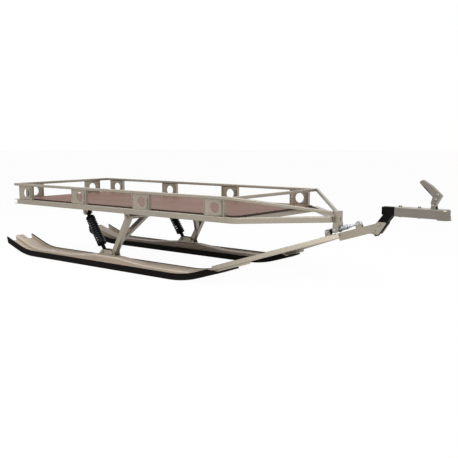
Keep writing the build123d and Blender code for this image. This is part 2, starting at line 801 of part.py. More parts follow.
# Skis: a plastic shoe with a pressed metal lining, ribbed down the middle
floor_lift = ski_sole + lining_wall
rib_end = (-rib_height, 0, -rib_run_out)
for side, sign in SIDES:
    with BuildPart() as ski_shoe:
        with BuildSketch(side_plane(sign * ski_y)):
            add(ski_side(0, ski_depth))
        extrude(amount=ski_width, both=True)
        with BuildSketch():
            add(ski_plan(sign, 0, tip_end))
        extrude(amount=bed_width, mode=Mode.INTERSECT)
        with BuildPart(mode=Mode.SUBTRACT):
            with BuildSketch(side_plane(sign * ski_y)):
                add(ski_side(ski_sole, 2 * ski_depth))
            extrude(amount=ski_width, both=True)
            with BuildSketch():
                add(ski_plan(sign, ski_wall, tip_end))
            extrude(amount=bed_width, mode=Mode.INTERSECT)
        with BuildSketch(side_plane(sign * ski_y)):
            dip_from = run_from_x + wall_dip_ahead
            dip_to = dip_from + wall_dip_length
            sole_top = ski_sole / cos(tip_run)
            with BuildLine():
                Polyline(
                    (dip_from, sole_height(dip_from) + ski_depth / cos(tip_run)),
                    (dip_to, sole_height(dip_to) + sole_top),
                    (tip_end + ski_depth, sole_height(tip_end + ski_depth) + sole_top),
                    (tip_end + ski_depth, bed_width),
                    (dip_from, bed_width),
                    close=True,
                )
            make_face()
        extrude(amount=ski_width, both=True, mode=Mode.SUBTRACT)
    save(ski_shoe, f"ski_shoe_{side}")

    with BuildPart() as ski_lining:
        with BuildSketch(side_plane(sign * ski_y)):
            add(ski_side(ski_sole, ski_depth - lining_edge))
        extrude(amount=ski_width, both=True)
        with BuildSketch():
            add(ski_plan(sign, ski_wall, lining_end))
        extrude(amount=bed_width, mode=Mode.INTERSECT)
        with BuildPart(mode=Mode.SUBTRACT):
            with BuildSketch(side_plane(sign * ski_y)):
                add(ski_side(floor_lift, 2 * ski_depth))
            extrude(amount=ski_half - ski_wall - lining_wall, both=True)
        for inset, mode in ((0, Mode.ADD), (lining_wall, Mode.SUBTRACT)):
            hump_from = saddle_x - hump_length / 2 + inset
            hump_to = saddle_x + hump_length / 2 - inset
            run_out = lining_end - 4 * lining_wall - 4 * inset
            half = rib_width / 2 - inset
            base = ski_sole if inset else floor_lift - lining_wall / 2
            with BuildPart(mode=Mode.PRIVATE) as rib:
                with BuildSketch(side_plane(sign * ski_y)):
                    add(ski_side(base, rib_height - inset))
                    with BuildLine():
                        Polyline(
                            (hump_from - hump_ramp, rib_height - inset),
                            (hump_from, hump_height - inset),
                            (hump_to, hump_height - inset),
                            (hump_to + hump_ramp, rib_height - inset),
                            close=True,
                        )
                    make_face()
                extrude(amount=half, both=True)
                split(bisect_by=Plane((run_out, 0, base), z_dir=rib_end), keep=Keep.TOP)
                crown = rib.faces().filter_by(lambda face: face.normal_at().Z > 0.3)
                flanks = crown.edges().filter_by(lambda edge: abs(edge.tangent_at(0.5).X) > 0.3)
                fillet(flanks, rib_round - inset)
            add(rib.part, mode=mode)
    save(ski_lining, f"ski_lining_{side}")

# Suspension on each ski: a saddle on the rib, a forked swing arm and a coil-over shock
saddle_z = hump_height
shock_top = Vector(bed_rear + shock_top_x, 0, deck_height - shock_drop)
shock_low = Vector(saddle_x + shock_foot[0], 0, saddle_z + shock_foot[1])
arm_top = Vector(bed_rear + arm_pivot_x, 0, deck_height - arm_drop)
arm_low = Vector(saddle_x + arm_foot[0], 0, saddle_z + arm_foot[1])
shock_axis = shock_low - shock_top
shock_length = shock_axis.length
shock_down = shock_axis.normalized()
seat_low = shock_length - seat_from_foot
plate_radius = pin_radius + plate_margin
upper = (Align.CENTER, Align.CENTER, Align.MIN)

for side, sign in SIDES:
    ski_line = Vector(0, sign * ski_y, 0)

    with BuildPart() as saddle:
        with Locations((saddle_x, sign * ski_y, saddle_z)):
            Box(saddle_length, saddle_inside + 2 * saddle_wall, saddle_wall, align=upper)
        for edge in (-1, 1):
            plate_y = sign * ski_y + edge * (saddle_inside + saddle_wall) / 2
            with BuildSketch(side_plane(plate_y)):
                for pin in (shock_low, arm_low):
                    with Locations((pin.X, pin.Z)):
                        Circle(plate_radius)
                with Locations((saddle_x, saddle_z)):
                    Rectangle(saddle_length, saddle_wall, align=(Align.CENTER, Align.MIN))
                make_hull()
            extrude(amount=saddle_wall / 2, both=True)
        for pin in (shock_low, arm_low):
            cross_bore(pin.X, pin.Z, pin_radius + pin_gap)
    save(saddle, f"saddle_{side}")

    with BuildPart(Plane(shock_top + ski_line, x_dir=(0, 1, 0), z_dir=shock_axis)) as shock_body:
        with Locations(Location((0, 0, 0), (0, 90, 0))):
            Cylinder(shock_eye, shock_eye_width)
        Cylinder(shock_foot_radius, seat_from_top, align=upper)
        with Locations((0, 0, seat_from_top)):
            Cylinder(seat_radius, seat_thickness, align=upper)
            Cylinder(shock_body_radius, body_share * shock_length - seat_from_top, align=upper)
        with Locations(Location((0, 0, 0), (0, 90, 0))):
            Cylinder(pin_radius + pin_gap, 2 * shock_eye_width, mode=Mode.SUBTRACT)
    save(shock_body, f"shock_body_{side}")

    with BuildPart(Plane(shock_top + ski_line, x_dir=(0, 1, 0), z_dir=shock_axis)) as shock_rod:
        with Locations((0, 0, body_share * shock_length)):
            Cylinder(shock_rod_radius, seat_low - body_share * shock_length, align=upper)
        with Locations((0, 0, seat_low)):
            Cylinder(seat_radius, seat_thickness, align=upper)
            Cylinder(shock_foot_radius, seat_from_foot, align=upper)
        with Locations(Location((0, 0, shock_length), (0, 90, 0))):
            Cylinder(shock_eye, shock_eye_width)
            Cylinder(pin_radius + pin_gap, 2 * shock_eye_width, mode=Mode.SUBTRACT)
    save(shock_rod, f"shock_rod_{side}")

    with BuildPart() as shock_spring:
        spring_from = seat_from_top + seat_thickness + spring_wire / 2
        spring_height = seat_low - spring_wire / 2 - spring_from
        with BuildLine() as coil:
            Helix(
                pitch=spring_height / spring_turns,
                height=spring_height,
                radius=spring_radius,
                center=shock_top + ski_line + shock_down * spring_from,
                direction=shock_down,
            )
        with BuildSketch(Plane(coil.line @ 0, z_dir=coil.line % 0)):
            RegularPolygon(spring_wire / 2, wire_side_count)
        sweep(path=coil.wires()[0], is_frenet=True)
    save(shock_spring, f"shock_spring_{side}")

    arm_run = arm_top - arm_low
    outer_foot = arm_low + ski_line
    branch = outer_foot + arm_run * arm_branch
    inner_top = arm_top + ski_line - Vector(0, sign * arm_spread, 0)
    pivot_from = sign * (ski_y + pivot_overhang)
    pivot_to = sign * (ski_y - arm_spread - pivot_overhang)
    pivot_length = arm_spread + 2 * pivot_overhang
    pivot_middle = (pivot_from + pivot_to) / 2
    with BuildPart() as swing_arm:
        with BuildSketch(Plane(outer_foot, x_dir=(0, 1, 0), z_dir=arm_run)):
            Rectangle(arm_tube, arm_tube)
        extrude(amount=arm_run.length)
        with BuildSketch(Plane(branch, x_dir=(0, 1, 0), z_dir=inner_top - branch)):
            Rectangle(arm_brace, arm_brace)
        extrude(amount=(inner_top - branch).length)
        with BuildSketch(Plane(branch, x_dir=arm_run, z_dir=arm_run.cross(inner_top - branch))):
            with BuildLine():
                reach = (inner_top - branch) * gusset_share
                along = reach.dot(arm_run.normalized())
                rise = (reach - arm_run.normalized() * along).length
                Polyline((0, 0), (along, 0), (along, rise), close=True)
            make_face()
        extrude(amount=gusset_thickness / 2, both=True)
        with Locations(Location((arm_top.X, pivot_middle, arm_top.Z), (90, 0, 0))):
            Cylinder(pivot_tube, pivot_length)
        with Locations(Location((arm_low.X, sign * ski_y, arm_low.Z), (90, 0, 0))):
            Cylinder(arm_bush, saddle_inside - 2 * bush_gap)
        for pin in (arm_low, arm_top):
            cross_bore(pin.X, pin.Z, pin_radius + pin_gap)
    save(swing_arm, f"swing_arm_{side}")

    # Hangers under the cross members: pin and the two inner faces that it passes
    HANGERS = (
        ("shock_hanger", shock_top, sign * ski_y - shock_eye_width / 2, sign * ski_y + shock_eye_width / 2),
        ("arm_hanger", arm_top, min(pivot_from, pivot_to), max(pivot_from, pivot_to)),
    )
    for name, pin, low_y, high_y in HANGERS:
        with BuildPart() as hanger:
            for face_y, outwards in ((low_y - pin_gap, -1), (high_y + pin_gap, 1)):
                with BuildSketch(side_plane(face_y + outwards * hanger_thickness / 2)):
                    with Locations((pin.X, pin.Z)):
                        Circle(plate_radius)
                    with Locations((pin.X, deck_height)):
                        Rectangle(hanger_width, 1, align=(Align.CENTER, Align.MAX))
                    make_hull()
                extrude(amount=hanger_thickness / 2, both=True)
            cross_bore(pin.X, pin.Z, pin_radius + pin_gap)
        save(hanger, f"{name}_{side}")

    with BuildPart() as pins:
        reach = saddle_inside / 2 + saddle_wall
        for pin in (shock_low, arm_low):
            cross_pin(pin.X, pin.Z, sign * ski_y - reach, sign * ski_y + reach, pin_radius, *pin_head)
        for name, pin, low_y, high_y in HANGERS:
            wide = pin_gap + hanger_thickness
            cross_pin(pin.X, pin.Z, low_y - wide, high_y + wide, pin_radius, *pin_head)
    save(pins, f"suspension_pins_{side}")
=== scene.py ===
import json
import math
from typing import NamedTuple

import bmesh
import bpy
from bpy.props import FloatProperty, FloatVectorProperty, IntProperty, PointerProperty
from mathutils import Matrix, Vector


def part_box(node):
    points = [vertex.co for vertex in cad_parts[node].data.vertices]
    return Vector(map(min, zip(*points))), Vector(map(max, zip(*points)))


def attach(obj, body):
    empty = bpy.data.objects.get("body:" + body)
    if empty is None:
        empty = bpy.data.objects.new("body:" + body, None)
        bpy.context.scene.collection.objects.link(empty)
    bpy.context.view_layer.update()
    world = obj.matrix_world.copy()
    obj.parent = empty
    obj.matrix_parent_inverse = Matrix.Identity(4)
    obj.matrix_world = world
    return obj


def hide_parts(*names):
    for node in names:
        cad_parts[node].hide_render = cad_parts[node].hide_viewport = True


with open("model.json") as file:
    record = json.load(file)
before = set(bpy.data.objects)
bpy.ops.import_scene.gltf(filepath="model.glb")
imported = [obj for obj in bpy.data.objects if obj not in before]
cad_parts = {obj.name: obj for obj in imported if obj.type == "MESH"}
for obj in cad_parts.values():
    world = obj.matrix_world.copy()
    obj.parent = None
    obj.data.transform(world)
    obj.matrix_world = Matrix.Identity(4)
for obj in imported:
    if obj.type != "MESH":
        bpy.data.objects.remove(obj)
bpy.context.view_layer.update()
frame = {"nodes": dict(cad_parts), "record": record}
NODES = frame["nodes"]
RECORD = frame["record"]
SIDES = {"right": -1, "left": 1}
SIGNS = (-1, 1)
UP = Vector((0, 0, 1))
ACROSS = Vector((0, 1, 0))

bl_info = {
    "name": "Snowmobile trailer",
    "version": (1, 0, 0),
    "blender": (4, 5, 0),
    "location": "View3D > Sidebar > Trailer",
    "description": "Dresses the packed snowmobile trailer with finishes, coils, bolts and welds",
    "category": "Object",
}


def length(label, words, default):
    """A size in metres that a user may change."""
    return FloatProperty(
        name=label, description=words, default=default, min=0.0, unit="LENGTH", precision=4
    )


def amount(label, words, default):
    """A count, level or other plain number that a user may change."""
    return FloatProperty(name=label, description=words, default=default, min=0.0)


def angle(label, words, degrees):
    """An angle that a user may change."""
    return FloatProperty(name=label, description=words, default=math.radians(degrees), subtype="ANGLE")


def colour(label, words, default):
    """A finish's main colour."""
    return FloatVectorProperty(
        name=label, description=words, default=default, size=3, min=0.0, max=1.0, subtype="COLOR"
    )


class TrailerSizes(bpy.types.PropertyGroup):
    """Sizes of the small pieces that are added to the frame."""

    spring_wire: length("Spring wire", "Thickness of the shock springs' wire", 0.0098)
    spring_radius: length("Spring radius", "Middle of the shock springs' wire from their axis", 0.023)
    spring_turns: amount("Spring turns", "Turns of a shock spring", 12.0)
    damper_wire: length("Damper wire", "Thickness of the damper spring's wire", 0.0042)
    damper_turns: amount("Damper turns", "Open turns of the damper spring", 3.6)
    bolt_across: length("Bolt head", "Width of a bolt's head across its flats", 0.0135)
    bolt_head: length("Head height", "Height of a bolt's head", 0.0044)
    washer_radius: length("Washer radius", "Outer radius of a washer", 0.0080)
    washer_height: length("Washer height", "Thickness of a washer", 0.0015)
    weld_radius: length("Weld bead", "Radius of a weld bead", 0.0027)
    weld_step: length("Weld ripple", "Distance between two ripples of a weld bead", 0.0036)
    screw_radius: length("Screw head", "Radius of a floor screw's head", 0.0062)
    screw_rows: IntProperty(
        name="Screws in a row", description="Floor screws on each cross member", default=5, min=2
    )


class TrailerColours(bpy.types.PropertyGroup):
    """Main colours of the finishes."""

    frame_zinc: colour("Frame zinc", "Satin zinc on the frame, railing and drawbar", (0.310, 0.276, 0.220))
    lining_zinc: colour("Lining zinc", "Pressed linings of the skis", (0.50, 0.425, 0.345))
    floor_film: colour("Floor film", "Brown film on the plywood floor", (0.145, 0.074, 0.051))
    floor_edge: colour("Floor edge", "Sealed edge of the plywood floor", (0.032, 0.022, 0.018))
    shoe_plastic: colour("Ski plastic", "Black plastic shoes of the skis", (0.0055, 0.0045, 0.0038))
    black_paint: colour("Black paint", "Paint on the neck, shocks and springs", (0.0060, 0.0055, 0.0055))
    bright_zinc: colour("Bright zinc", "Blue-white zinc on the tow damper", (0.46, 0.475, 0.50))
    coupling_zinc: colour("Coupling zinc", "Grey zinc on the coupling and handle", (0.215, 0.195, 0.166))
    rubber: colour("Rubber", "Buffers and bump stops", (0.012, 0.012, 0.012))


class TrailerStage(bpy.types.PropertyGroup):
    """Camera, floor and light."""

    lens: amount("Lens", "Focal length of the camera in millimetres", 55.39)
    camera_place: FloatVectorProperty(
        name="Camera", description="Place of the camera", default=(2.5876, -3.1049, 0.7335), subtype="XYZ"
    )
    turn: angle("Turn", "Turn of the camera about Z", 38.83)
    tilt: angle("Tilt", "Downward tilt of the camera", 8.95)
    shift: FloatVectorProperty(
        name="Shift", description="Framing shift of the camera", default=(0.0068, 0.0459), size=2
    )
    ground: colour("Ground", "Pale studio floor", (0.86, 0.86, 0.86))
    sky_level: amount("Sky", "Strength of the soft studio surround", 0.30)
    key_level: amount("Key", "Power of the large soft lamp", 170.0)
    fill_level: amount("Fill", "Power of the lamp over the rear, mirrored in the upper edges", 75.0)
    top_level: amount("Top", "Power of the lamp overhead", 20.0)


# Places read from the frame, and what its boxes leave open
FRAME_HEAD = 0.008  # radius of the frame's plain bolt heads
FRAME_HEADS = 0.012  # height of the two heads of a frame's bolt, together
HANGER_PIN = 0.013  # a hanger's pin above the plates' lower edge
SHOCK_PIN = (-0.035, 0.022)  # a shock's lower pin, ahead of its saddle's middle and above its foot
ARM_PIN = (0.048, 0.020)  # a swing arm's lower pin, from the same


def box(name):
    """Lowest and highest corner of a CAD node, as vectors."""
    low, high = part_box(name)
    return Vector(low), Vector(high)


def middle(name):
    """Middle of a CAD node's box."""
    low, high = box(name)
    return (low + high) / 2


def corner_centres(name, radius):
    """Centres of two round things at the lower rear and upper front of a node's box, at its mid width."""
    low, high = box(name)
    y = (low.y + high.y) / 2
    return Vector((low.x + radius, y, low.z + radius)), Vector((high.x - radius, y, high.z - radius))


def hanger_pin(name):
    """Middle of the pin through a pair of hanger plates."""
    centre = middle(name)
    return Vector((centre.x, centre.y, box(name)[0].z + HANGER_PIN))


def saddle_pin(side, place):
    """Middle of a pin through a saddle."""
    ahead, rise = place
    centre = middle(f"saddle_{side}")
    return Vector((centre.x + ahead, centre.y, box(f"saddle_{side}")[0].z + rise))


def shock_ends(side):
    """Upper and lower pin of one shock."""
    return hanger_pin(f"shock_hanger_{side}"), saddle_pin(side, SHOCK_PIN)


rear_eye, front_eye = corner_centres("damper_bolts", FRAME_HEAD)
slope = (front_eye - rear_eye).normalized()
slope_up = Vector((-slope.z, 0, slope.x))


# Distances under which two points count as one
SEAM_GAP = 1e-7
PIECE_GAP = 1e-6
CAD_GAP = 2e-6

# Small forms of a bolt
WASHER_EDGE = 0.0004
HEXAGON_EDGE = 0.0009
CROWN_SHARE = 0.82  # radius of the round crown, as a share of the head's
CROWN_SINK = 0.0004
CROWN_RISE = 0.0003
CROWN_EDGE = 0.0002
THREAD_END = 0.0024  # how far the thread stands out of the nut
THREAD_EDGE = 0.0007

# Winding of a spring
WIRE_SIDES = 12
TURN_STEPS = 30
FEWEST_STEPS = 6
CLOSED_TURNS = 0.9  # turns wound close at each end
CLOSED_RISE = 0.8  # how far they rise, in thicknesses of the wire

# Form of a weld bead
BEAD_SIDES = 8
FEWEST_RIPPLES = 3
BEAD_END = 0.55  # radius of its ends, as a share of the bead's
RIPPLES = (0.82, 1.0)  # radius of its valleys and crests, likewise

DOME_STEPS = 24


def stand(place, axis):
    """Matrix that puts a shape drawn up +Z at a place, along an axis."""
    return Matrix.Translation(place) @ UP.rotation_difference(axis).to_matrix().to_4x4()


def join_at(bm, shape, matrix):
    """Put a finished shape into a mesh, in its place, and free it."""
    bmesh.ops.transform(shape, matrix=matrix, verts=shape.verts)
    carrier = bpy.data.meshes.new("carrier")
    shape.to_mesh(carrier)
    shape.free()
    bm.from_mesh(carrier)
    bpy.data.meshes.remove(carrier)


def add_disc(bm, low, high, radius, edge, sides=28):
    """Round or many-sided block up +Z between two heights, with its rims rounded off."""
    level = Matrix.Translation((0, 0, (low + high) / 2))
    made = bmesh.ops.create_cone(
        bm, cap_ends=True, segments=sides, radius1=radius, radius2=radius, depth=high - low, matrix=level
    )["verts"]
    rims = {e for v in made for e in v.link_edges if abs(e.verts[0].co.z - e.verts[1].co.z) < SEAM_GAP}
    bmesh.ops.bevel(
        bm,
        geom=list(rims),
        offset=edge,
        segments=2,
        profile=0.5,
        affect="EDGES",
        material=-1,
        clamp_overlap=True,
    )


def add_lathe(bm, profile, steps):
    """Solid of revolution about Z from (radius, height) corners; a profile off the axis is closed."""
    corners = [bm.verts.new((radius, 0, height)) for radius, height in profile]
    edges = [bm.edges.new(pair) for pair in zip(corners, corners[1:])]
    if profile[0][0] > 0:
        edges.append(bm.edges.new((corners[-1], corners[0])))
    bmesh.ops.spin(
        bm, geom=corners + edges, cent=(0, 0, 0), axis=UP, angle=math.tau, steps=steps, use_merge=True
    )
    bmesh.ops.remove_doubles(bm, verts=bm.verts, dist=SEAM_GAP)


def add_dome(bm, profile, place, axis):
    """Domed head at a place, along an axis."""
    head = bmesh.new()
    add_lathe(head, profile, DOME_STEPS)
    join_at(bm, head, stand(place, axis))


def add_bolt(bm, place, axis, grip, shank, sizes, scale=1.0):
    """Hexagon bolt through a grip centred at a place: head, washers, nut and thread end."""
    bolt = bmesh.new()
    half = grip / 2
    washer = sizes.washer_radius * scale
    seat = half + sizes.washer_height
    crown = seat + sizes.bolt_head * scale
    hexagon = sizes.bolt_across * scale / math.sqrt(3)
    add_disc(bolt, half, seat, washer, WASHER_EDGE)
    add_disc(bolt, seat, crown, hexagon, HEXAGON_EDGE, sides=6)
    add_disc(bolt, crown - CROWN_SINK, crown + CROWN_RISE, hexagon * CROWN_SHARE, CROWN_EDGE)
    add_disc(bolt, -seat, -half, washer, WASHER_EDGE)
    add_disc(bolt, -crown, -seat, hexagon, HEXAGON_EDGE, sides=6)
    add_disc(bolt, -crown - THREAD_END, half, shank, THREAD_EDGE, sides=24)
    join_at(bm, bolt, stand(place, axis))


def add_coil(bm, start, end, radius, wire, turns):
    """Round-wire compression spring between two seats: open turns, and end turns wound close."""
    coil = bmesh.new()
    height = (end - start).length
    made = bmesh.ops.create_circle(
        coil,
        cap_ends=False,
        segments=WIRE_SIDES,
        radius=wire / 2,
        matrix=Matrix.Translation((radius, 0, wire / 2)) @ Matrix.Rotation(math.pi / 2, 4, "X"),
    )["verts"]
    geom = made + list({e for v in made for e in v.link_edges})
    closed = (CLOSED_TURNS, CLOSED_RISE * wire)
    opened = (turns, height - wire - 2 * CLOSED_RISE * wire)
    for wound, rise in (closed, opened, closed):
        steps = max(FEWEST_STEPS, round(TURN_STEPS * wound))
        geom = bmesh.ops.spin(
            coil,
            geom=geom,
            cent=(0, 0, 0),
            axis=UP,
            dvec=(0, 0, rise / steps),
            angle=math.tau * wound,
            steps=steps,
        )["geom_last"]
    bmesh.ops.holes_fill(coil, edges=[e for e in coil.edges if e.is_boundary], sides=0)
    join_at(bm, coil, stand(start, (end - start).normalized()))


def add_bead(bm, start, end, radius, step):
    """Rippled weld bead from one point to another."""
    bead = bmesh.new()
    run = (end - start).length
    ripples = max(FEWEST_RIPPLES, round(run / step))
    rise = run / ripples
    made = bmesh.ops.create_circle(bead, cap_ends=True, segments=BEAD_SIDES, radius=radius * BEAD_END)
    edges = list({e for v in made["verts"] for e in v.link_edges})
    size = BEAD_END
    for number in range(1, ripples + 1):
        pushed = bmesh.ops.extrude_edge_only(bead, edges=edges)["geom"]
        verts = [v for v in pushed if isinstance(v, bmesh.types.BMVert)]
        edges = [e for e in pushed if isinstance(e, bmesh.types.BMEdge)]
        wanted = BEAD_END if number == ripples else RIPPLES[number % 2]
        bmesh.ops.scale(bead, vec=(wanted / size, wanted / size, 1), verts=verts)
        for vert in verts:
            vert.co.z = number * rise
        size = wanted
    bmesh.ops.holes_fill(bead, edges=[e for e in bead.edges if e.is_boundary], sides=0)
    join_at(bm, bead, stand(start, (end - start).normalized()))


def finish_piece(bm, name, look, slot, body="trailer", sharp=30, turn=True):
    """Turn a finished mesh into a named piece that rides on a body; sharp is an angle in degrees."""
    if turn:
        bmesh.ops.remove_doubles(bm, verts=bm.verts, dist=PIECE_GAP)
        bmesh.ops.recalc_face_normals(bm, faces=bm.faces)
    mesh = bpy.data.meshes.new(name)
    bm.to_mesh(mesh)
    bm.free()
    for face in mesh.polygons:
        face.use_smooth = True
    mesh.set_sharp_from_angle(angle=math.radians(sharp))
    mesh.materials.append(bpy.data.materials[look])
    piece = bpy.data.objects.new(name, mesh)
    bpy.context.scene.collection.objects.link(piece)
    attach(piece, body)
    return piece


# Shader nodes


def add_node(tree, kind, inputs=None, **settings):
    """New shader node with its settings and the values or links of its inputs."""
    node = tree.nodes.new(kind)
    for key, value in settings.items():
        setattr(node, key, value)
    for key, value in (inputs or {}).items():
        if isinstance(value, bpy.types.NodeSocket):
            tree.links.new(value, node.inputs[key])
        else:
            node.inputs[key].default_value = value
    return node


def noise(tree, place, scale, detail=2.0, roughness=0.5, distortion=0.0):
    """Cloudy noise about one half."""
    inputs = {
        "Vector": place,
        "Scale": scale,
        "Detail": detail,
        "Roughness": roughness,
        "Distortion": distortion,
    }
    return add_node(tree, "ShaderNodeTexNoise", inputs).outputs["Fac"]


def stretched(tree, place, factors):
    """Coordinates drawn out by a factor on each axis."""
    return add_node(tree, "ShaderNodeVectorMath", {0: place, 1: factors}, operation="MULTIPLY").outputs[0]


def remap(tree, value, source=(0.0, 1.0), target=(0.0, 1.0)):
    """Value brought from one range into another, and kept inside it."""
    inputs = {
        "Value": value,
        "From Min": source[0],
        "From Max": source[1],
        "To Min": target[0],
        "To Max": target[1],
    }
    return add_node(tree, "ShaderNodeMapRange", inputs).outputs["Result"]


def calculate(tree, operation, *values):
    """Result of a sum on values and sockets."""
    return add_node(tree, "ShaderNodeMath", dict(enumerate(values)), operation=operation).outputs[0]


def blend(tree, share, first, second):
    """Colour that goes from a first one to a second."""
    return add_node(tree, "ShaderNodeMix", {0: share, 6: first, 7: second}, data_type="RGBA").outputs[2]


def relief(tree, height, strength, distance):
    """Fine bumps, as a normal."""
    inputs = {"Height": height, "Strength": strength, "Distance": distance}
    return add_node(tree, "ShaderNodeBump", inputs).outputs["Normal"]


def use_group(tree, group, place, values):
    """Shader group laid out over a piece's coordinates, with values of its own."""
    return add_node(tree, "ShaderNodeGroup", {"Vector": place, **values}, node_tree=group).outputs


def open_group(name, inputs, outputs):
    """Empty shader group over coordinates, and the inside of its named sockets."""
    group = bpy.data.node_groups.new(name, "ShaderNodeTree")
    for label, default in {"Vector": (0, 0, 0), **inputs}.items():
        kind = "NodeSocketVector" if isinstance(default, tuple) else "NodeSocketFloat"
        group.interface.new_socket(name=label, in_out="INPUT", socket_type=kind).default_value = default
    for label in outputs:
        group.interface.new_socket(name=label, in_out="OUTPUT", socket_type="NodeSocketFloat")
    return group, group.nodes.new("NodeGroupInput").outputs, group.nodes.new("NodeGroupOutput").inputs


# Shader groups


def cloudy_tone():
    """Shader group: soft blotches with a fine crystal spangle, from 0 to 1."""
    if "Cloudy tone" in bpy.data.node_groups:
        return bpy.data.node_groups["Cloudy tone"]
    group, enter, leave = open_group(
        "Cloudy tone", {"Blotch size": 7.0, "Spangle size": 90.0, "Spangle share": 0.35}, ("Tone",)
    )
    place = enter["Vector"]
    blotch = noise(group, place, enter["Blotch size"], detail=5.0, roughness=0.6)
    spangle = add_node(group, "ShaderNodeTexVoronoi", {"Vector": place, "Scale": enter["Spangle size"]})
    grey = add_node(group, "ShaderNodeRGBToBW", {"Color": spangle.outputs["Color"]})
    mix = add_node(group, "ShaderNodeMix", {0: enter["Spangle share"], 2: blotch, 3: grey.outputs[0]})
    group.links.new(remap(group, mix.outputs[0], source=(0.28, 0.72)), leave["Tone"])
    return group


def fine_scuffs():
    """Shader group: long thin scratches and small rubs, as a mask and a height."""
    if "Fine scuffs" in bpy.data.node_groups:
        return bpy.data.node_groups["Fine scuffs"]
    group, enter, leave = open_group(
        "Fine scuffs", {"Stretch": (0.06, 1, 1), "Scale": 160.0, "Amount": 0.5}, ("Mask", "Height")
    )
    place = enter["Vector"]
    drawn = stretched(group, place, enter["Stretch"])
    lines = noise(group, drawn, enter["Scale"], detail=4.0, roughness=0.65)
    patches = noise(group, place, scale=5.0, detail=3.0)
    thin = remap(group, lines, source=(0.55, 0.75))
    where = remap(group, patches, source=(0.4, 0.65))
    mask = calculate(group, "MULTIPLY", thin, where)
    group.links.new(calculate(group, "MULTIPLY", mask, enter["Amount"]), leave["Mask"])
    group.links.new(lines, leave["Height"])
    return group


def wood_grain():
    """Shader group: broad grain lines that show through a film, from 0 to 1."""
    group, enter, leave = open_group("Wood grain", {"Scale": 9.0}, ("Grain",))
    drawn = stretched(group, enter["Vector"], factors=(0.16, 1.0, 1.0))
    bands = noise(group, drawn, enter["Scale"], detail=6.0, roughness=0.62, distortion=0.7)
    group.links.new(bands, leave["Grain"])
    return group


# Finishes


class Finish(NamedTuple):
    """How a mottled and scuffed finish is mixed."""

    colour: str  # which main colour it takes
    rough: float
    spread: float  # how far its tone goes to either side of the main colour
    blotch: float  # blotches in a metre
    spangle: float  # crystals in a metre
    scuff: float  # strength of the scuffs
    stretch: float  # the smaller, the longer the scuffs along X
    bump: float
    metallic: float = 0.0
    specular: float = 0.5


FINISHES = {
    "frame_zinc": Finish(
        "frame_zinc", metallic=0.6, rough=0.26, spread=0.04, blotch=6.0, spangle=240.0,
        scuff=0.12, stretch=0.05, bump=0.01,
    ),
    "lining_zinc": Finish(
        "lining_zinc", metallic=0.15, rough=0.50, spread=0.08, blotch=5.0, spangle=200.0,
        scuff=0.25, stretch=0.04, bump=0.05,
    ),
    "blue_zinc": Finish(
        "bright_zinc", metallic=0.8, rough=0.28, spread=0.08, blotch=60.0, spangle=400.0,
        scuff=0.25, stretch=0.3, bump=0.06,
    ),
    "coupling_zinc": Finish(
        "coupling_zinc", metallic=0.9, rough=0.15, spread=0.06, blotch=18.0, spangle=300.0,
        scuff=0.15, stretch=0.2, bump=0.01,
    ),
    "shoe_plastic": Finish(
        "shoe_plastic", rough=0.5, spread=0.25, blotch=9.0, spangle=300.0,
        scuff=0.5, stretch=0.03, bump=0.22, specular=0.035,
    ),
    "satin_black": Finish(
        "black_paint", rough=0.45, spread=0.18, blotch=40.0, spangle=600.0,
        scuff=0.15, stretch=0.5, bump=0.06, specular=0.015,
    ),
    "spring_paint": Finish(
        "black_paint", rough=0.26, spread=0.10, blotch=40.0, spangle=600.0,
        scuff=0.1, stretch=0.5, bump=0.05, specular=0.22,
    ),
    "screw_paint": Finish(
        "floor_film", rough=0.5, spread=0.05, blotch=20.0, spangle=300.0,
        scuff=0.1, stretch=1.0, bump=0.05, specular=0.13,
    ),
    "dull_rubber": Finish(
        "rubber", rough=0.72, spread=0.2, blotch=50.0, spangle=500.0,
        scuff=0.2, stretch=1.0, bump=0.3, specular=0.2,
    ),
}

# What these finishes have in common
SPANGLE_SHARE = 0.12
METAL_RUB = 1.4  # how much lighter a scuff is, on metal
PAINT_RUB = 3.2  # and on paint, plastic or rubber
ROUGH_SPREAD = 0.025
RUB_ROUGHNESS = 0.18
SCUFF_DEPTH = 0.0006

# Floor film
GRAIN_SHADES = (0.79, 1.245)
PLY_SHADES = (0.7, 1.7)
PLY_WAVES = 2244.0  # radians of the plies' wave in a metre of height
RUBBED_FILM = (0.34, 0.25, 0.21, 1.0)
FILM_ROUGHNESS = (0.44, 0.58)

# Weld metal, as shares of the frame's zinc
WELD_SHADES = (0.72, 1.12)
WELD_STRAW = (0.98, 0.92, 0.80)


def open_material(name, metallic, roughness, specular=0.5):
    """Material with one Principled shader, and the Object coordinates of its piece."""
    material = bpy.data.materials.new(name)
    material.use_nodes = True
    tree = material.node_tree
    shader = tree.nodes["Principled BSDF"]
    shader.inputs["Metallic"].default_value = metallic
    shader.inputs["Roughness"].default_value = roughness
    shader.inputs["Specular IOR Level"].default_value = specular
    place = tree.nodes.new("ShaderNodeTexCoord").outputs["Object"]
    return tree, shader.inputs, place


def shade(rgb, factor):
    """A colour made lighter or darker, with its fourth part."""
    return (*(min(1.0, part * factor) for part in rgb), 1.0)


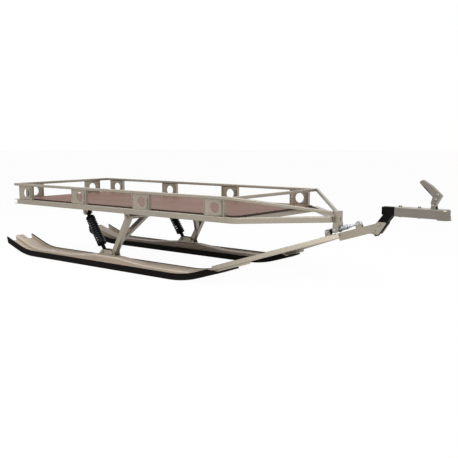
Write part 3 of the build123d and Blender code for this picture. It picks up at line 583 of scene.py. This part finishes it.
def add_finish(name, rgb, mix):
    """Mottled and scuffed surface: tone and roughness from one cloudy mask, scratches on top."""
    tree, surface, place = open_material(name, mix.metallic, mix.rough, mix.specular)
    tone = use_group(
        tree,
        cloudy_tone(),
        place,
        {"Blotch size": mix.blotch, "Spangle size": mix.spangle, "Spangle share": SPANGLE_SHARE},
    )["Tone"]
    scuffs = use_group(
        tree, fine_scuffs(), place, {"Stretch": (mix.stretch, 1, 1), "Amount": mix.scuff}
    )
    body = blend(tree, tone, shade(rgb, 1 - mix.spread), shade(rgb, 1 + mix.spread))
    bare = shade(rgb, METAL_RUB if mix.metallic else PAINT_RUB)
    dull = remap(tree, tone, target=(mix.rough - ROUGH_SPREAD, mix.rough + ROUGH_SPREAD))
    rubbed = calculate(tree, "MULTIPLY_ADD", scuffs["Mask"], RUB_ROUGHNESS, dull)
    tree.links.new(blend(tree, scuffs["Mask"], body, bare), surface["Base Color"])
    tree.links.new(rubbed, surface["Roughness"])
    tree.links.new(relief(tree, scuffs["Height"], mix.bump, SCUFF_DEPTH), surface["Normal"])


def add_floor_film(film, sealed):
    """Brown film over plywood: grain that shows through, rubbed tracks, and sealed plies on the edge."""
    tree, surface, place = open_material("floor_film", metallic=0.0, roughness=0.5, specular=0.13)
    grain = use_group(tree, wood_grain(), place, {})["Grain"]
    tone = use_group(tree, cloudy_tone(), place, {"Blotch size": 2.6, "Spangle share": 0.05})["Tone"]
    scuffs = use_group(tree, fine_scuffs(), place, {"Scale": 70.0, "Amount": 0.35})
    faces = blend(tree, grain, *(shade(film, part) for part in GRAIN_SHADES))
    rubbed = blend(tree, scuffs["Mask"], faces, RUBBED_FILM)
    height = add_node(tree, "ShaderNodeSeparateXYZ", {0: place}).outputs["Z"]
    plies = calculate(tree, "SINE", calculate(tree, "MULTIPLY", height, PLY_WAVES))
    layers = remap(tree, plies, source=(-0.2, 0.9))
    edge = blend(tree, layers, *(shade(sealed, part) for part in PLY_SHADES))
    normal = tree.nodes.new("ShaderNodeNewGeometry").outputs["True Normal"]
    upright = add_node(tree, "ShaderNodeSeparateXYZ", {0: normal}).outputs["Z"]
    flat = remap(tree, calculate(tree, "ABSOLUTE", upright), source=(0.4, 0.6))
    tree.links.new(blend(tree, flat, edge, rubbed), surface["Base Color"])
    tree.links.new(remap(tree, tone, target=FILM_ROUGHNESS), surface["Roughness"])
    tree.links.new(relief(tree, grain, strength=0.05, distance=0.0008), surface["Normal"])


def add_weld_finish(rgb):
    """Weld metal: bright ripples with a straw heat tint."""
    tree, surface, place = open_material("weld_metal", metallic=1.0, roughness=0.38)
    ramp = add_node(tree, "ShaderNodeValToRGB", {"Fac": noise(tree, place, scale=38.0, detail=3.0)})
    for stop, part in zip(ramp.color_ramp.elements, WELD_SHADES):
        stop.color = shade(rgb, part)
    straw = ramp.color_ramp.elements.new(0.5)
    straw.color = (*(part * tint for part, tint in zip(rgb, WELD_STRAW)), 1)
    grit = noise(tree, place, scale=900.0)
    tree.links.new(ramp.outputs["Color"], surface["Base Color"])
    tree.links.new(relief(tree, grit, strength=0.2, distance=0.0003), surface["Normal"])


# Finishes of the CAD nodes: the start of a node's name and its finish, later lines win
NODE_FINISHES = (
    ("", "frame_zinc"),
    ("ski_lining", "lining_zinc"),
    ("floor_panel", "floor_film"),
    ("ski_shoe", "shoe_plastic"),
    ("neck", "satin_black"),
    ("shock_body", "satin_black"),
    ("shock_rod", "satin_black"),
    ("coupling", "coupling_zinc"),
    ("handle_ears", "coupling_zinc"),
    ("damper_slider", "blue_zinc"),
    ("damper_link", "blue_zinc"),
    ("damper_buffer", "dull_rubber"),
)


class TRAILER_OT_finishes(bpy.types.Operator):
    """Mix the finishes and give one to every CAD node"""

    bl_idname = "trailer.finishes"
    bl_label = "Finishes"

    def execute(self, context):
        colours = context.scene.trailer_colours
        for name, mix in FINISHES.items():
            add_finish(name, getattr(colours, mix.colour), mix)
        add_floor_film(colours.floor_film, colours.floor_edge)
        add_weld_finish(colours.frame_zinc)
        for name, node in NODES.items():
            wanted = [kind for start, kind in NODE_FINISHES if name.startswith(start)][-1]
            node.data.materials.clear()
            node.data.materials.append(bpy.data.materials[wanted])
        return {"FINISHED"}


# Rounded edges: the start of a node's name and the rounding's width
EDGE_ROUNDING = (
    ("side_rail", 0.0042),
    ("rear_channel", 0.0016),
    ("posts", 0.0013),
    ("top_rail", 0.0028),
    ("nose_rail", 0.0028),
    ("headstock", 0.0020),
    ("drawbar_leg", 0.0034),
    ("main_bar", 0.0040),
    ("tow_shoe", 0.0020),
    ("hitch_plates", 0.0014),
    ("nose_lugs", 0.0014),
    ("damper_tabs", 0.0010),
    ("neck", 0.0024),
    ("saddle", 0.0012),
    ("swing_arm", 0.0022),
    ("shock_hanger", 0.0012),
    ("arm_hanger", 0.0012),
    ("ski_shoe", 0.0025),
    ("handle_ears", 0.0008),
    ("coupling_handle", 0.0010),
    ("floor_panel", 0.0010),
)
FLAT_TURN = math.radians(0.5)  # faces that turn by less than this count as one
EDGE_TURN = math.radians(35)  # edges that turn by more than this are rounded
END_EDGES = (0.010, 0.045)  # length of the short edges at the ends of tubes and plates
END_SHARE = 0.45


def mark_edges(bm):
    """Weight the outer edges for rounding: long runs and rims in full, the short edges of ends by less."""
    weight = bm.edges.layers.float.new("bevel_weight_edge")
    for edge in bm.edges:
        if edge.is_convex and edge.is_manifold and edge.calc_face_angle() > EDGE_TURN:
            edge[weight] = END_SHARE if END_EDGES[0] < edge.calc_length() < END_EDGES[1] else 1.0


class TRAILER_OT_rounded_edges(bpy.types.Operator):
    """Round the edges of the tubes, plates and pressings, so that they catch the light"""

    bl_idname = "trailer.rounded_edges"
    bl_label = "Rounded edges"

    def execute(self, context):
        slots = {part["node"]: part["material_slot"] for part in RECORD["subparts"]}
        for name, node in NODES.items():
            widths = [width for start, width in EDGE_ROUNDING if name.startswith(start)]
            if not widths:
                continue
            bm = bmesh.new()
            bm.from_mesh(node.data)
            bmesh.ops.remove_doubles(bm, verts=bm.verts, dist=CAD_GAP)
            bmesh.ops.dissolve_limit(bm, angle_limit=FLAT_TURN, verts=bm.verts, edges=bm.edges)
            mark_edges(bm)
            look = node.data.materials[0].name
            body = "handle" if name == "coupling_handle" else "trailer"
            piece = finish_piece(bm, f"rounded_{name}", look, slots[name], body=body, sharp=38, turn=False)
            rounding = piece.modifiers.new("rounding", "BEVEL")
            rounding.width = widths[0]
            rounding.segments = 2
            rounding.profile = 0.5
            rounding.limit_method = "WEIGHT"
            rounding.harden_normals = True
            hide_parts(name)
        return {"FINISHED"}


# Seats of the springs, from a shock's two pins and from the middle of the damper's slider
SPRING_TOP = 0.0422
SPRING_FOOT = 0.0522
DAMPER_SEAT = 0.0252
DAMPER_LENGTH = 0.0376
DAMPER_RADIUS = 0.0108


class TRAILER_OT_coils(bpy.types.Operator):
    """Wind the shock springs and the damper's spring from round wire"""

    bl_idname = "trailer.coils"
    bl_label = "Coil springs"

    def execute(self, context):
        sizes = context.scene.trailer_sizes
        open_turns = sizes.spring_turns - 2 * CLOSED_TURNS
        for side in SIDES:
            top, foot = shock_ends(side)
            down = (foot - top).normalized()
            start = top + down * SPRING_TOP
            end = foot - down * SPRING_FOOT
            bm = bmesh.new()
            add_coil(bm, start, end, sizes.spring_radius, sizes.spring_wire, open_turns)
            piece = finish_piece(bm, f"shock_coil_{side}", "spring_paint", "black_paint", sharp=80)
            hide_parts(f"shock_spring_{side}")
        start = middle("damper_slider") + slope * DAMPER_SEAT
        end = start + slope * DAMPER_LENGTH
        bm = bmesh.new()
        add_coil(bm, start, end, DAMPER_RADIUS, sizes.damper_wire, sizes.damper_turns)
        piece = finish_piece(bm, "damper_coil", "blue_zinc", "bright_zinc", sharp=80)
        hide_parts("damper_spring")
        return {"FINISHED"}


# Shanks of the bolts, and how much larger the suspension's are
SHANK = 0.006
SUSPENSION_SHANK = 0.007
SUSPENSION_SCALE = 1.3


class TRAILER_OT_bolts(bpy.types.Operator):
    """Put hexagon bolts with washers and nuts through the plates, tabs, hangers and coupling"""

    bl_idname = "trailer.bolts"
    bl_label = "Bolts"

    def execute(self, context):
        sizes = context.scene.trailer_sizes
        for name, look in (("hitch_bolts", "frame_zinc"), ("damper_bolts", "blue_zinc")):
            low, high = box(name)
            bm = bmesh.new()
            for centre in corner_centres(name, FRAME_HEAD):
                add_bolt(bm, centre, -ACROSS, high.y - low.y - FRAME_HEADS, SHANK, sizes)
            piece = finish_piece(bm, f"hex_{name}", look, "bright_zinc")
            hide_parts(name)

        low, high = box("coupling_bolts")
        centre = middle("coupling_bolts")
        bm = bmesh.new()
        for x in (low.x + FRAME_HEAD, high.x - FRAME_HEAD):
            centre.x = x
            add_bolt(bm, centre, UP, high.z - low.z - FRAME_HEADS, SHANK, sizes)
        piece = finish_piece(bm, "hex_coupling_bolts", "coupling_zinc", "bright_zinc")
        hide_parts("coupling_bolts")

        for side, sign in SIDES.items():
            bm = bmesh.new()
            for centre, holder in (
                (hanger_pin(f"shock_hanger_{side}"), f"shock_hanger_{side}"),
                (saddle_pin(side, SHOCK_PIN), f"saddle_{side}"),
                (saddle_pin(side, ARM_PIN), f"saddle_{side}"),
                (hanger_pin(f"arm_hanger_{side}"), f"arm_hanger_{side}"),
            ):
                low, high = box(holder)
                grip = high.y - low.y
                add_bolt(bm, centre, ACROSS * sign, grip, SUSPENSION_SHANK, sizes, SUSPENSION_SCALE)
            piece = finish_piece(bm, f"hex_suspension_bolts_{side}", "frame_zinc", "black_paint")
            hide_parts(f"suspension_pins_{side}")
        return {"FINISHED"}


# Places of the weld beads
POST_BEAD = 0.008  # half a bead on the end of a lashing plate's flange
RAIL_BEND = 0.6  # a side rail's bent front part, back from its front end
BEAD_INSET = 0.002  # how far a bead stops short of a tube's edge
HANGER_WALL = 0.006  # thickness of a hanger plate
HANGER_BEAD = 0.0145  # half a bead on a hanger plate
BEAD_OFFSET = 0.0005  # from a face to the middle of a bead beside it
HITCH_BEAD_START = Vector((0.003, 0, 0.006))  # from the plates' lower rear corner
HITCH_BEAD_RUN = Vector((0.042, 0, 0.050))
TAB_BEAD = 0.015  # half a bead on a damper tab
REAR_TAB_DROP = 0.0213  # from an eye to its tab's foot
FRONT_TAB_DROP = 0.020
GUSSET_BACK = Vector((0.002, 0, 0.0057))  # from the apex gusset's lowest corner
GUSSET_FRONT = Vector((-0.006, 0, -0.0012))  # from its highest corner


def railing_beads():
    """Beads at the feet and tops of the lashing plates' flanges."""
    posts = [mount for mount in RECORD["mounts"] if mount["name"].startswith("lashing")]
    rear_reach = max(mount["pos_m"][1] for mount in posts if "rear" in mount["name"])
    half = box("posts_rear")[1].y - rear_reach
    for mount in posts:
        outward = Vector(mount["axis"])
        along = UP.cross(outward)
        for level in box("posts_right"):
            for sign in SIGNS:
                corner = Vector((*mount["pos_m"][:2], level.z)) + along * sign * half
                yield corner + outward * POST_BEAD, corner - outward * POST_BEAD


def frame_beads():
    """Beads on the cross members, hangers, headstock and nose lugs."""
    rail_low, rail_high = box("side_rail_left")
    rail_face = rail_high.y - (rail_high.z - rail_low.z)
    bend = rail_high.x - RAIL_BEND
    for name in ("shock", "arm", "front"):
        low, high = box(f"{name}_cross_member")
        for sign in SIGNS:
            for x in (low.x, high.x):
                if x < bend:
                    y = sign * rail_face
                    yield Vector((x, y, low.z + BEAD_INSET)), Vector((x, y, high.z - BEAD_INSET))
    for side in SIDES:
        for name in ("shock", "arm"):
            low, high = box(f"{name}_hanger_{side}")
            x = (low.x + high.x) / 2
            for y in (low.y, low.y + HANGER_WALL, high.y - HANGER_WALL, high.y):
                yield Vector((x - HANGER_BEAD, y, high.z)), Vector((x + HANGER_BEAD, y, high.z))
    head_low, head_high = box("headstock")
    lug_top = box("nose_lugs")[1].z
    for sign in SIGNS:
        y = sign * (head_high.y - BEAD_OFFSET)
        yield Vector((head_low.x, y, rail_low.z)), Vector((head_low.x, y, rail_high.z))
        y = sign * (head_high.y + BEAD_OFFSET)
        yield Vector((head_low.x + BEAD_INSET, y, lug_top)), Vector((head_high.x - BEAD_INSET, y, lug_top))


def drawbar_beads():
    """Beads behind the hitch plates, on the damper's tabs and along the apex gusset."""
    plate = box("hitch_plates")[0]
    bar_face = box("main_bar")[1].y + BEAD_OFFSET
    tab_face = box("damper_tabs_rear")[1].y
    gusset_low, gusset_high = box("apex_gusset")
    gusset_back = gusset_low + GUSSET_BACK
    gusset_front = gusset_high + GUSSET_FRONT
    for sign in SIGNS:
        rear_edge = Vector((plate.x, sign * bar_face, plate.z)) + HITCH_BEAD_START
        yield rear_edge, rear_edge + HITCH_BEAD_RUN
        for eye, drop in ((rear_eye, REAR_TAB_DROP), (front_eye, FRONT_TAB_DROP)):
            seat = eye - slope_up * drop + ACROSS * sign * tab_face
            yield seat - slope * TAB_BEAD, seat + slope * TAB_BEAD
        back = Vector((gusset_back.x, sign * gusset_high.y, gusset_back.z))
        yield back, Vector((gusset_front.x, 0, gusset_front.z))


class TRAILER_OT_welds(bpy.types.Operator):
    """Run weld beads where the frame, railing and drawbar are joined"""

    bl_idname = "trailer.welds"
    bl_label = "Welds"

    def execute(self, context):
        sizes = context.scene.trailer_sizes
        for name, beads in (
            ("railing_welds", railing_beads()),
            ("frame_welds", frame_beads()),
            ("drawbar_welds", drawbar_beads()),
        ):
            bm = bmesh.new()
            for start, end in beads:
                add_bead(bm, start, end, sizes.weld_radius, sizes.weld_step)
            finish_piece(bm, name, "weld_metal", "zinc_steel", sharp=70)
        return {"FINISHED"}


# Floor screws
SCREW_MARGIN_X = 0.02  # from the floor's rear edge to the last row
SCREW_MARGIN_Y = 0.03  # from its sides to the ends of a row
SCREW_SINK = 0.0006
SCREW_RISE = 0.0014
SCREW_EDGE = 0.0009
SCREW_RIM = 0.0026  # from the flat of the head to its recess
RECESS_DEPTH = 0.0011


def add_screw(bm, place, radius):
    """Round-headed screw with a recess, at a place on a flat top."""
    screw = bmesh.new()
    add_disc(screw, -SCREW_SINK, SCREW_RISE, radius, SCREW_EDGE, sides=20)
    crown = max(screw.faces, key=lambda face: face.calc_center_median().z)
    bmesh.ops.inset_region(screw, faces=[crown], thickness=SCREW_RIM)
    bmesh.ops.translate(screw, vec=(0, 0, -RECESS_DEPTH), verts=crown.verts)
    join_at(bm, screw, Matrix.Translation(place))


class TRAILER_OT_floor_screws(bpy.types.Operator):
    """Set round-headed screws through the floor into the cross members"""

    bl_idname = "trailer.floor_screws"
    bl_label = "Floor screws"

    def execute(self, context):
        sizes = context.scene.trailer_sizes
        low, high = box("floor_panel")
        rows = [middle(f"{name}_cross_member").x for name in ("shock", "arm", "front")]
        rows.append(low.x + SCREW_MARGIN_X)
        wide = (high.y - low.y) / 2 - SCREW_MARGIN_Y
        bm = bmesh.new()
        for x in rows:
            for number in range(sizes.screw_rows):
                y = wide * (2 * number / (sizes.screw_rows - 1) - 1)
                add_screw(bm, (x, y, high.z), sizes.screw_radius)
        finish_piece(bm, "floor_screws", "screw_paint", "plywood")
        return {"FINISHED"}


# Bolts at the tail of a ski's rib
RIB_TILT = math.radians(19)  # how steeply the rib falls from its tail
RIB_STEPS = (0.016, 0.046)  # along the rib, from its tail
RIB_BOLT = ((0, -0.001), (0.0075, -0.001), (0.0075, 0.0008), (0.0052, 0.0028), (0, 0.0035))


class TRAILER_OT_ski_fixings(bpy.types.Operator):
    """Fix the linings to the skis with domed bolts at the tail of each rib"""

    bl_idname = "trailer.ski_fixings"
    bl_label = "Ski fixings"

    def execute(self, context):
        along = Vector((math.cos(RIB_TILT), 0, -math.sin(RIB_TILT)))
        outward = Vector((math.sin(RIB_TILT), 0, math.cos(RIB_TILT)))
        for side in SIDES:
            low, high = box(f"ski_lining_{side}")
            tail = Vector((low.x, (low.y + high.y) / 2, high.z))
            bm = bmesh.new()
            for step in RIB_STEPS:
                add_dome(bm, RIB_BOLT, tail + along * step, outward)
            finish_piece(bm, f"rib_bolts_{side}", "frame_zinc", "bright_zinc")
        return {"FINISHED"}


# Preload ring and bump stop of a shock, and their places from its upper and lower pin
FITTING_STEPS = 32
RING_PLACE = 0.0268
RING_RADIUS = 0.0225
RING = ((0.0112, 0), (0.0205, 0), (RING_RADIUS, 0.002), (RING_RADIUS, 0.0088), (0.0112, 0.0088))
OUTER_SHARE = 0.99  # the ring's outer faces lie further out than this share of its radius
NOTCH_EVERY = 4  # every fourth outer face is a notch
NOTCH_RIM = 0.0004
NOTCH_DEPTH = 0.0022
STOP_PLACE = 0.0523
STOP = (
    (0.0062, 0),
    (0.0130, 0),
    (0.0150, 0.003),
    (0.0132, 0.007),
    (0.0142, 0.0105),
    (0.0122, 0.0145),
    (0.0128, 0.018),
    (0.0092, 0.024),
    (0.0062, 0.024),
)


def add_preload_ring(bm):
    """Ring with notches for a hook spanner around its outside."""
    add_lathe(bm, RING, FITTING_STEPS)
    outer = [f for f in bm.faces if f.calc_center_median().xy.length > OUTER_SHARE * RING_RADIUS]
    for notch in outer[::NOTCH_EVERY]:
        bmesh.ops.inset_individual(bm, faces=[notch], thickness=NOTCH_RIM)
        bmesh.ops.translate(bm, vec=-notch.normal * NOTCH_DEPTH, verts=notch.verts)


class TRAILER_OT_shock_fittings(bpy.types.Operator):
    """Add the notched preload ring and the rubber bump stop of each shock"""

    bl_idname = "trailer.shock_fittings"
    bl_label = "Shock fittings"

    def execute(self, context):
        for side in SIDES:
            top, foot = shock_ends(side)
            down = (foot - top).normalized()
            bm = bmesh.new()
            add_preload_ring(bm)
            bmesh.ops.transform(bm, matrix=stand(top + down * RING_PLACE, down), verts=bm.verts)
            finish_piece(bm, f"preload_ring_{side}", "satin_black", "black_paint")
            bm = bmesh.new()
            add_lathe(bm, STOP, FITTING_STEPS)
            bmesh.ops.transform(bm, matrix=stand(foot - down * STOP_PLACE, -down), verts=bm.verts)
            finish_piece(bm, f"bump_stop_{side}", "dull_rubber", "rubber", sharp=60)
        return {"FINISHED"}


# Pin heads and rivets of the handle
PIN_HEAD = ((0, -0.002), (0.0062, -0.002), (0.0062, 0.0006), (0.0042, 0.0022), (0, 0.0028))
RIVETS = ((0.017, 0.050), (0.008, 0.028))  # ahead of the handle's pivot and above it


class TRAILER_OT_coupling_fittings(bpy.types.Operator):
    """Add the pin heads of the handle's ears and the rivets on the handle"""

    bl_idname = "trailer.coupling_fittings"
    bl_label = "Coupling fittings"

    def execute(self, context):
        joint = next(j for j in RECORD["behaviour"]["joints"] if j["name"] == "handle_close")
        pivot = Vector(joint["pos_m"])
        bm = bmesh.new()
        for sign, ear in zip(SIGNS, box("handle_ears")):
            add_dome(bm, PIN_HEAD, Vector((pivot.x, ear.y, pivot.z)), ACROSS * sign)
        finish_piece(bm, "handle_pin_heads", "coupling_zinc", "bright_zinc")
        bm = bmesh.new()
        side = box("coupling_handle")[1].y
        for ahead, rise in RIVETS:
            for sign in SIGNS:
                place = Vector((pivot.x + ahead, sign * side, pivot.z + rise))
                add_dome(bm, PIN_HEAD, place, ACROSS * sign)
        finish_piece(bm, "handle_rivets", "coupling_zinc", "bright_zinc", body="handle")
        return {"FINISHED"}


# Link of the tow damper
EYE_STEPS = 40
EYE = (
    (0.0062, -0.0068),
    (0.0132, -0.0068),
    (0.0150, -0.0045),
    (0.0150, 0.0045),
    (0.0132, 0.0068),
    (0.0062, 0.0068),
)
EYE_REACH = 0.013  # from an eye's middle to the end of the rod
ROD_RADIUS = 0.0058
ROD_EDGE = 0.0004
THREADS = 16
THREAD_PITCH = 0.0024
THREAD_START = 0.008  # from the rod's front end to its first thread
THREAD_ROOT = 0.0052
THREAD_CREST = 0.0063
THREAD_HALF = 0.001
THREAD_STEPS = 20
SLIDER_HALF = 0.025
SPRING_SPACE = 0.038  # between the slider and the nut
NUT_RADIUS = 0.0108
NUT_EDGE = 0.0008
NUT_HEIGHT = 0.0075
LOCK_NUT_GAP = 0.0003
LOCK_NUT_HEIGHT = 0.0057


def add_threaded_rod(bm, run, nut):
    """Rod up +Z with a threaded end, and a nut with its lock nut from a height on it."""
    add_disc(bm, 0, run, ROD_RADIUS, ROD_EDGE, sides=24)
    for number in range(THREADS):
        height = run - THREAD_START - number * THREAD_PITCH
        ridge = (
            (THREAD_ROOT, height - THREAD_HALF),
            (THREAD_CREST, height),
            (THREAD_ROOT, height + THREAD_HALF),
        )
        add_lathe(bm, ridge, THREAD_STEPS)
    lock_nut = nut + NUT_HEIGHT + LOCK_NUT_GAP
    add_disc(bm, nut, nut + NUT_HEIGHT, NUT_RADIUS, NUT_EDGE, sides=6)
    add_disc(bm, lock_nut, lock_nut + LOCK_NUT_HEIGHT, NUT_RADIUS, NUT_EDGE, sides=6)


class TRAILER_OT_damper_link(bpy.types.Operator):
    """Make the damper's link: two rounded eyes, a threaded rod and hexagon nuts"""

    bl_idname = "trailer.damper_link"
    bl_label = "Damper link"

    def execute(self, context):
        bm = bmesh.new()
        for eye in (rear_eye, front_eye):
            ring = bmesh.new()
            add_lathe(ring, EYE, EYE_STEPS)
            join_at(bm, ring, stand(eye, ACROSS))
        run = (front_eye - rear_eye).length - 2 * EYE_REACH
        slide = (middle("damper_slider") - rear_eye).length - EYE_REACH
        rod = bmesh.new()
        add_threaded_rod(rod, run, slide + SLIDER_HALF + SPRING_SPACE)
        join_at(bm, rod, stand(rear_eye + slope * EYE_REACH, slope))
        piece = finish_piece(bm, "threaded_damper_link", "blue_zinc", "bright_zinc", sharp=35)
        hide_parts("damper_link")
        return {"FINISHED"}


# Stage
FLOOR_RADIUS = 45.0
FLOOR_SIDES = 64
FLOOR_DROP = 0.0008  # keeps the floor clear of the skis' soles
FLOOR_GLOW = 0.965  # share of white that the eye sees; the rest takes shadows
LAMPS = (
    ("key", 3.6, Vector((2.8, -2.4, 2.65))),
    ("top", 2.2, Vector((0.3, 0.0, 3.4))),
    ("fill", 3.2, Vector((-2.0, -1.0, 3.3))),
)
LAMP_AIM = Vector((0.2, 0.0, 0.3))
SENSOR = 36.0  # width of the camera's sensor in millimetres
FAR_CLIP = 100.0
WHITE = (1, 1, 1, 1)


def white_to_the_eye(tree):
    """Factor that is 1 for rays straight from the camera, in gloss and through glass."""
    path = tree.nodes.new("ShaderNodeLightPath").outputs
    seen = calculate(tree, "MAXIMUM", path["Is Camera Ray"], path["Is Glossy Ray"])
    return calculate(tree, "MAXIMUM", seen, path["Is Transmission Ray"])


def lay_floor(scene, ground):
    """Pale floor that is white to the eye, takes shadows, and can be seen through from below."""
    bm = bmesh.new()
    level = Matrix.Translation((0, 0, -FLOOR_DROP))
    bmesh.ops.create_circle(bm, cap_ends=True, segments=FLOOR_SIDES, radius=FLOOR_RADIUS, matrix=level)
    mesh = bpy.data.meshes.new("studio_floor")
    bm.to_mesh(mesh)
    bm.free()
    floor = bpy.data.objects.new("studio_floor", mesh)
    scene.collection.objects.link(floor)
    material = bpy.data.materials.new("studio_floor")
    material.use_nodes = True
    tree = material.node_tree
    tree.nodes.remove(tree.nodes["Principled BSDF"])
    matt = add_node(tree, "ShaderNodeBsdfDiffuse", {"Color": (*ground, 1)}).outputs[0]
    glow = add_node(tree, "ShaderNodeEmission", {"Color": WHITE, "Strength": 1.0}).outputs[0]
    share = calculate(tree, "MULTIPLY", white_to_the_eye(tree), FLOOR_GLOW)
    above = add_node(tree, "ShaderNodeMixShader", {0: share, 1: matt, 2: glow}).outputs[0]
    below = tree.nodes.new("ShaderNodeNewGeometry").outputs["Backfacing"]
    clear = tree.nodes.new("ShaderNodeBsdfTransparent").outputs[0]
    one_sided = add_node(tree, "ShaderNodeMixShader", {0: below, 1: above, 2: clear}).outputs[0]
    tree.links.new(one_sided, tree.nodes["Material Output"].inputs["Surface"])
    mesh.materials.append(material)


def set_surround(scene, level):
    """Surround that is white to the eye and lights the part softly."""
    world = bpy.data.worlds.new("studio")
    scene.world = world
    world.use_nodes = True
    tree = world.node_tree
    surround = tree.nodes["Background"].inputs
    surround["Color"].default_value = WHITE
    tree.links.new(remap(tree, white_to_the_eye(tree), target=(level, 1.0)), surround["Strength"])


def set_lamps(scene, settings):
    """Three large soft lamps that look at the part."""
    for name, size, place in LAMPS:
        lamp = bpy.data.lights.new(name, "AREA")
        lamp.energy = getattr(settings, f"{name}_level")
        lamp.size = size
        holder = bpy.data.objects.new(name, lamp)
        holder.location = place
        holder.rotation_euler = (LAMP_AIM - place).to_track_quat("-Z", "Y").to_euler()
        scene.collection.objects.link(holder)


def set_camera(scene, settings):
    """Camera where the photograph was taken from."""
    eye = bpy.data.cameras.new("photo_view")
    eye.sensor_width = SENSOR
    eye.lens = settings.lens
    eye.shift_x = settings.shift[0]
    eye.shift_y = settings.shift[1]
    eye.clip_end = FAR_CLIP
    camera = bpy.data.objects.new("photo_view", eye)
    camera.location = settings.camera_place
    camera.rotation_euler = (math.pi / 2 - settings.tilt, 0, settings.turn)
    scene.collection.objects.link(camera)
    scene.camera = camera


class TRAILER_OT_stage(bpy.types.Operator):
    """Lay the pale floor and set the soft lamps, the white surround and the camera"""

    bl_idname = "trailer.stage"
    bl_label = "Stage"

    def execute(self, context):
        scene = context.scene
        settings = scene.trailer_stage
        lay_floor(scene, settings.ground)
        set_surround(scene, settings.sky_level)
        set_lamps(scene, settings)
        set_camera(scene, settings)
        scene.view_settings.view_transform = "Standard"
        return {"FINISHED"}


OPERATORS = (
    TRAILER_OT_finishes,
    TRAILER_OT_rounded_edges,
    TRAILER_OT_coils,
    TRAILER_OT_bolts,
    TRAILER_OT_damper_link,
    TRAILER_OT_shock_fittings,
    TRAILER_OT_coupling_fittings,
    TRAILER_OT_welds,
    TRAILER_OT_floor_screws,
    TRAILER_OT_ski_fixings,
    TRAILER_OT_stage,
)


class TRAILER_PT_panel(bpy.types.Panel):
    """Sizes, colours and steps of the trailer"""

    bl_label = "Trailer"
    bl_idname = "TRAILER_PT_panel"
    bl_space_type = "VIEW_3D"
    bl_region_type = "UI"
    bl_category = "Trailer"

    def draw(self, context):
        for group in ("trailer_sizes", "trailer_colours", "trailer_stage"):
            settings = getattr(context.scene, group)
            column = self.layout.column(align=True)
            for key in settings.__annotations__:
                column.prop(settings, key)
        for operator in OPERATORS:
            self.layout.operator(operator.bl_idname)


CLASSES = (TrailerSizes, TrailerColours, TrailerStage, *OPERATORS, TRAILER_PT_panel)


def register():
    """Register the classes and hang the settings on the scene."""
    for item in CLASSES:
        bpy.utils.register_class(item)
    bpy.types.Scene.trailer_sizes = PointerProperty(type=TrailerSizes)
    bpy.types.Scene.trailer_colours = PointerProperty(type=TrailerColours)
    bpy.types.Scene.trailer_stage = PointerProperty(type=TrailerStage)


def unregister():
    """Take the settings and classes away again."""
    del bpy.types.Scene.trailer_stage
    del bpy.types.Scene.trailer_colours
    del bpy.types.Scene.trailer_sizes
    for item in reversed(CLASSES):
        bpy.utils.unregister_class(item)


def main():
    """Make every piece in order."""
    register()
    bpy.ops.trailer.finishes()
    bpy.ops.trailer.rounded_edges()
    bpy.ops.trailer.coils()
    bpy.ops.trailer.bolts()
    bpy.ops.trailer.damper_link()
    bpy.ops.trailer.shock_fittings()
    bpy.ops.trailer.coupling_fittings()
    bpy.ops.trailer.welds()
    bpy.ops.trailer.floor_screws()
    bpy.ops.trailer.ski_fixings()
    bpy.ops.trailer.stage()


if __name__ == "__main__":
    main()
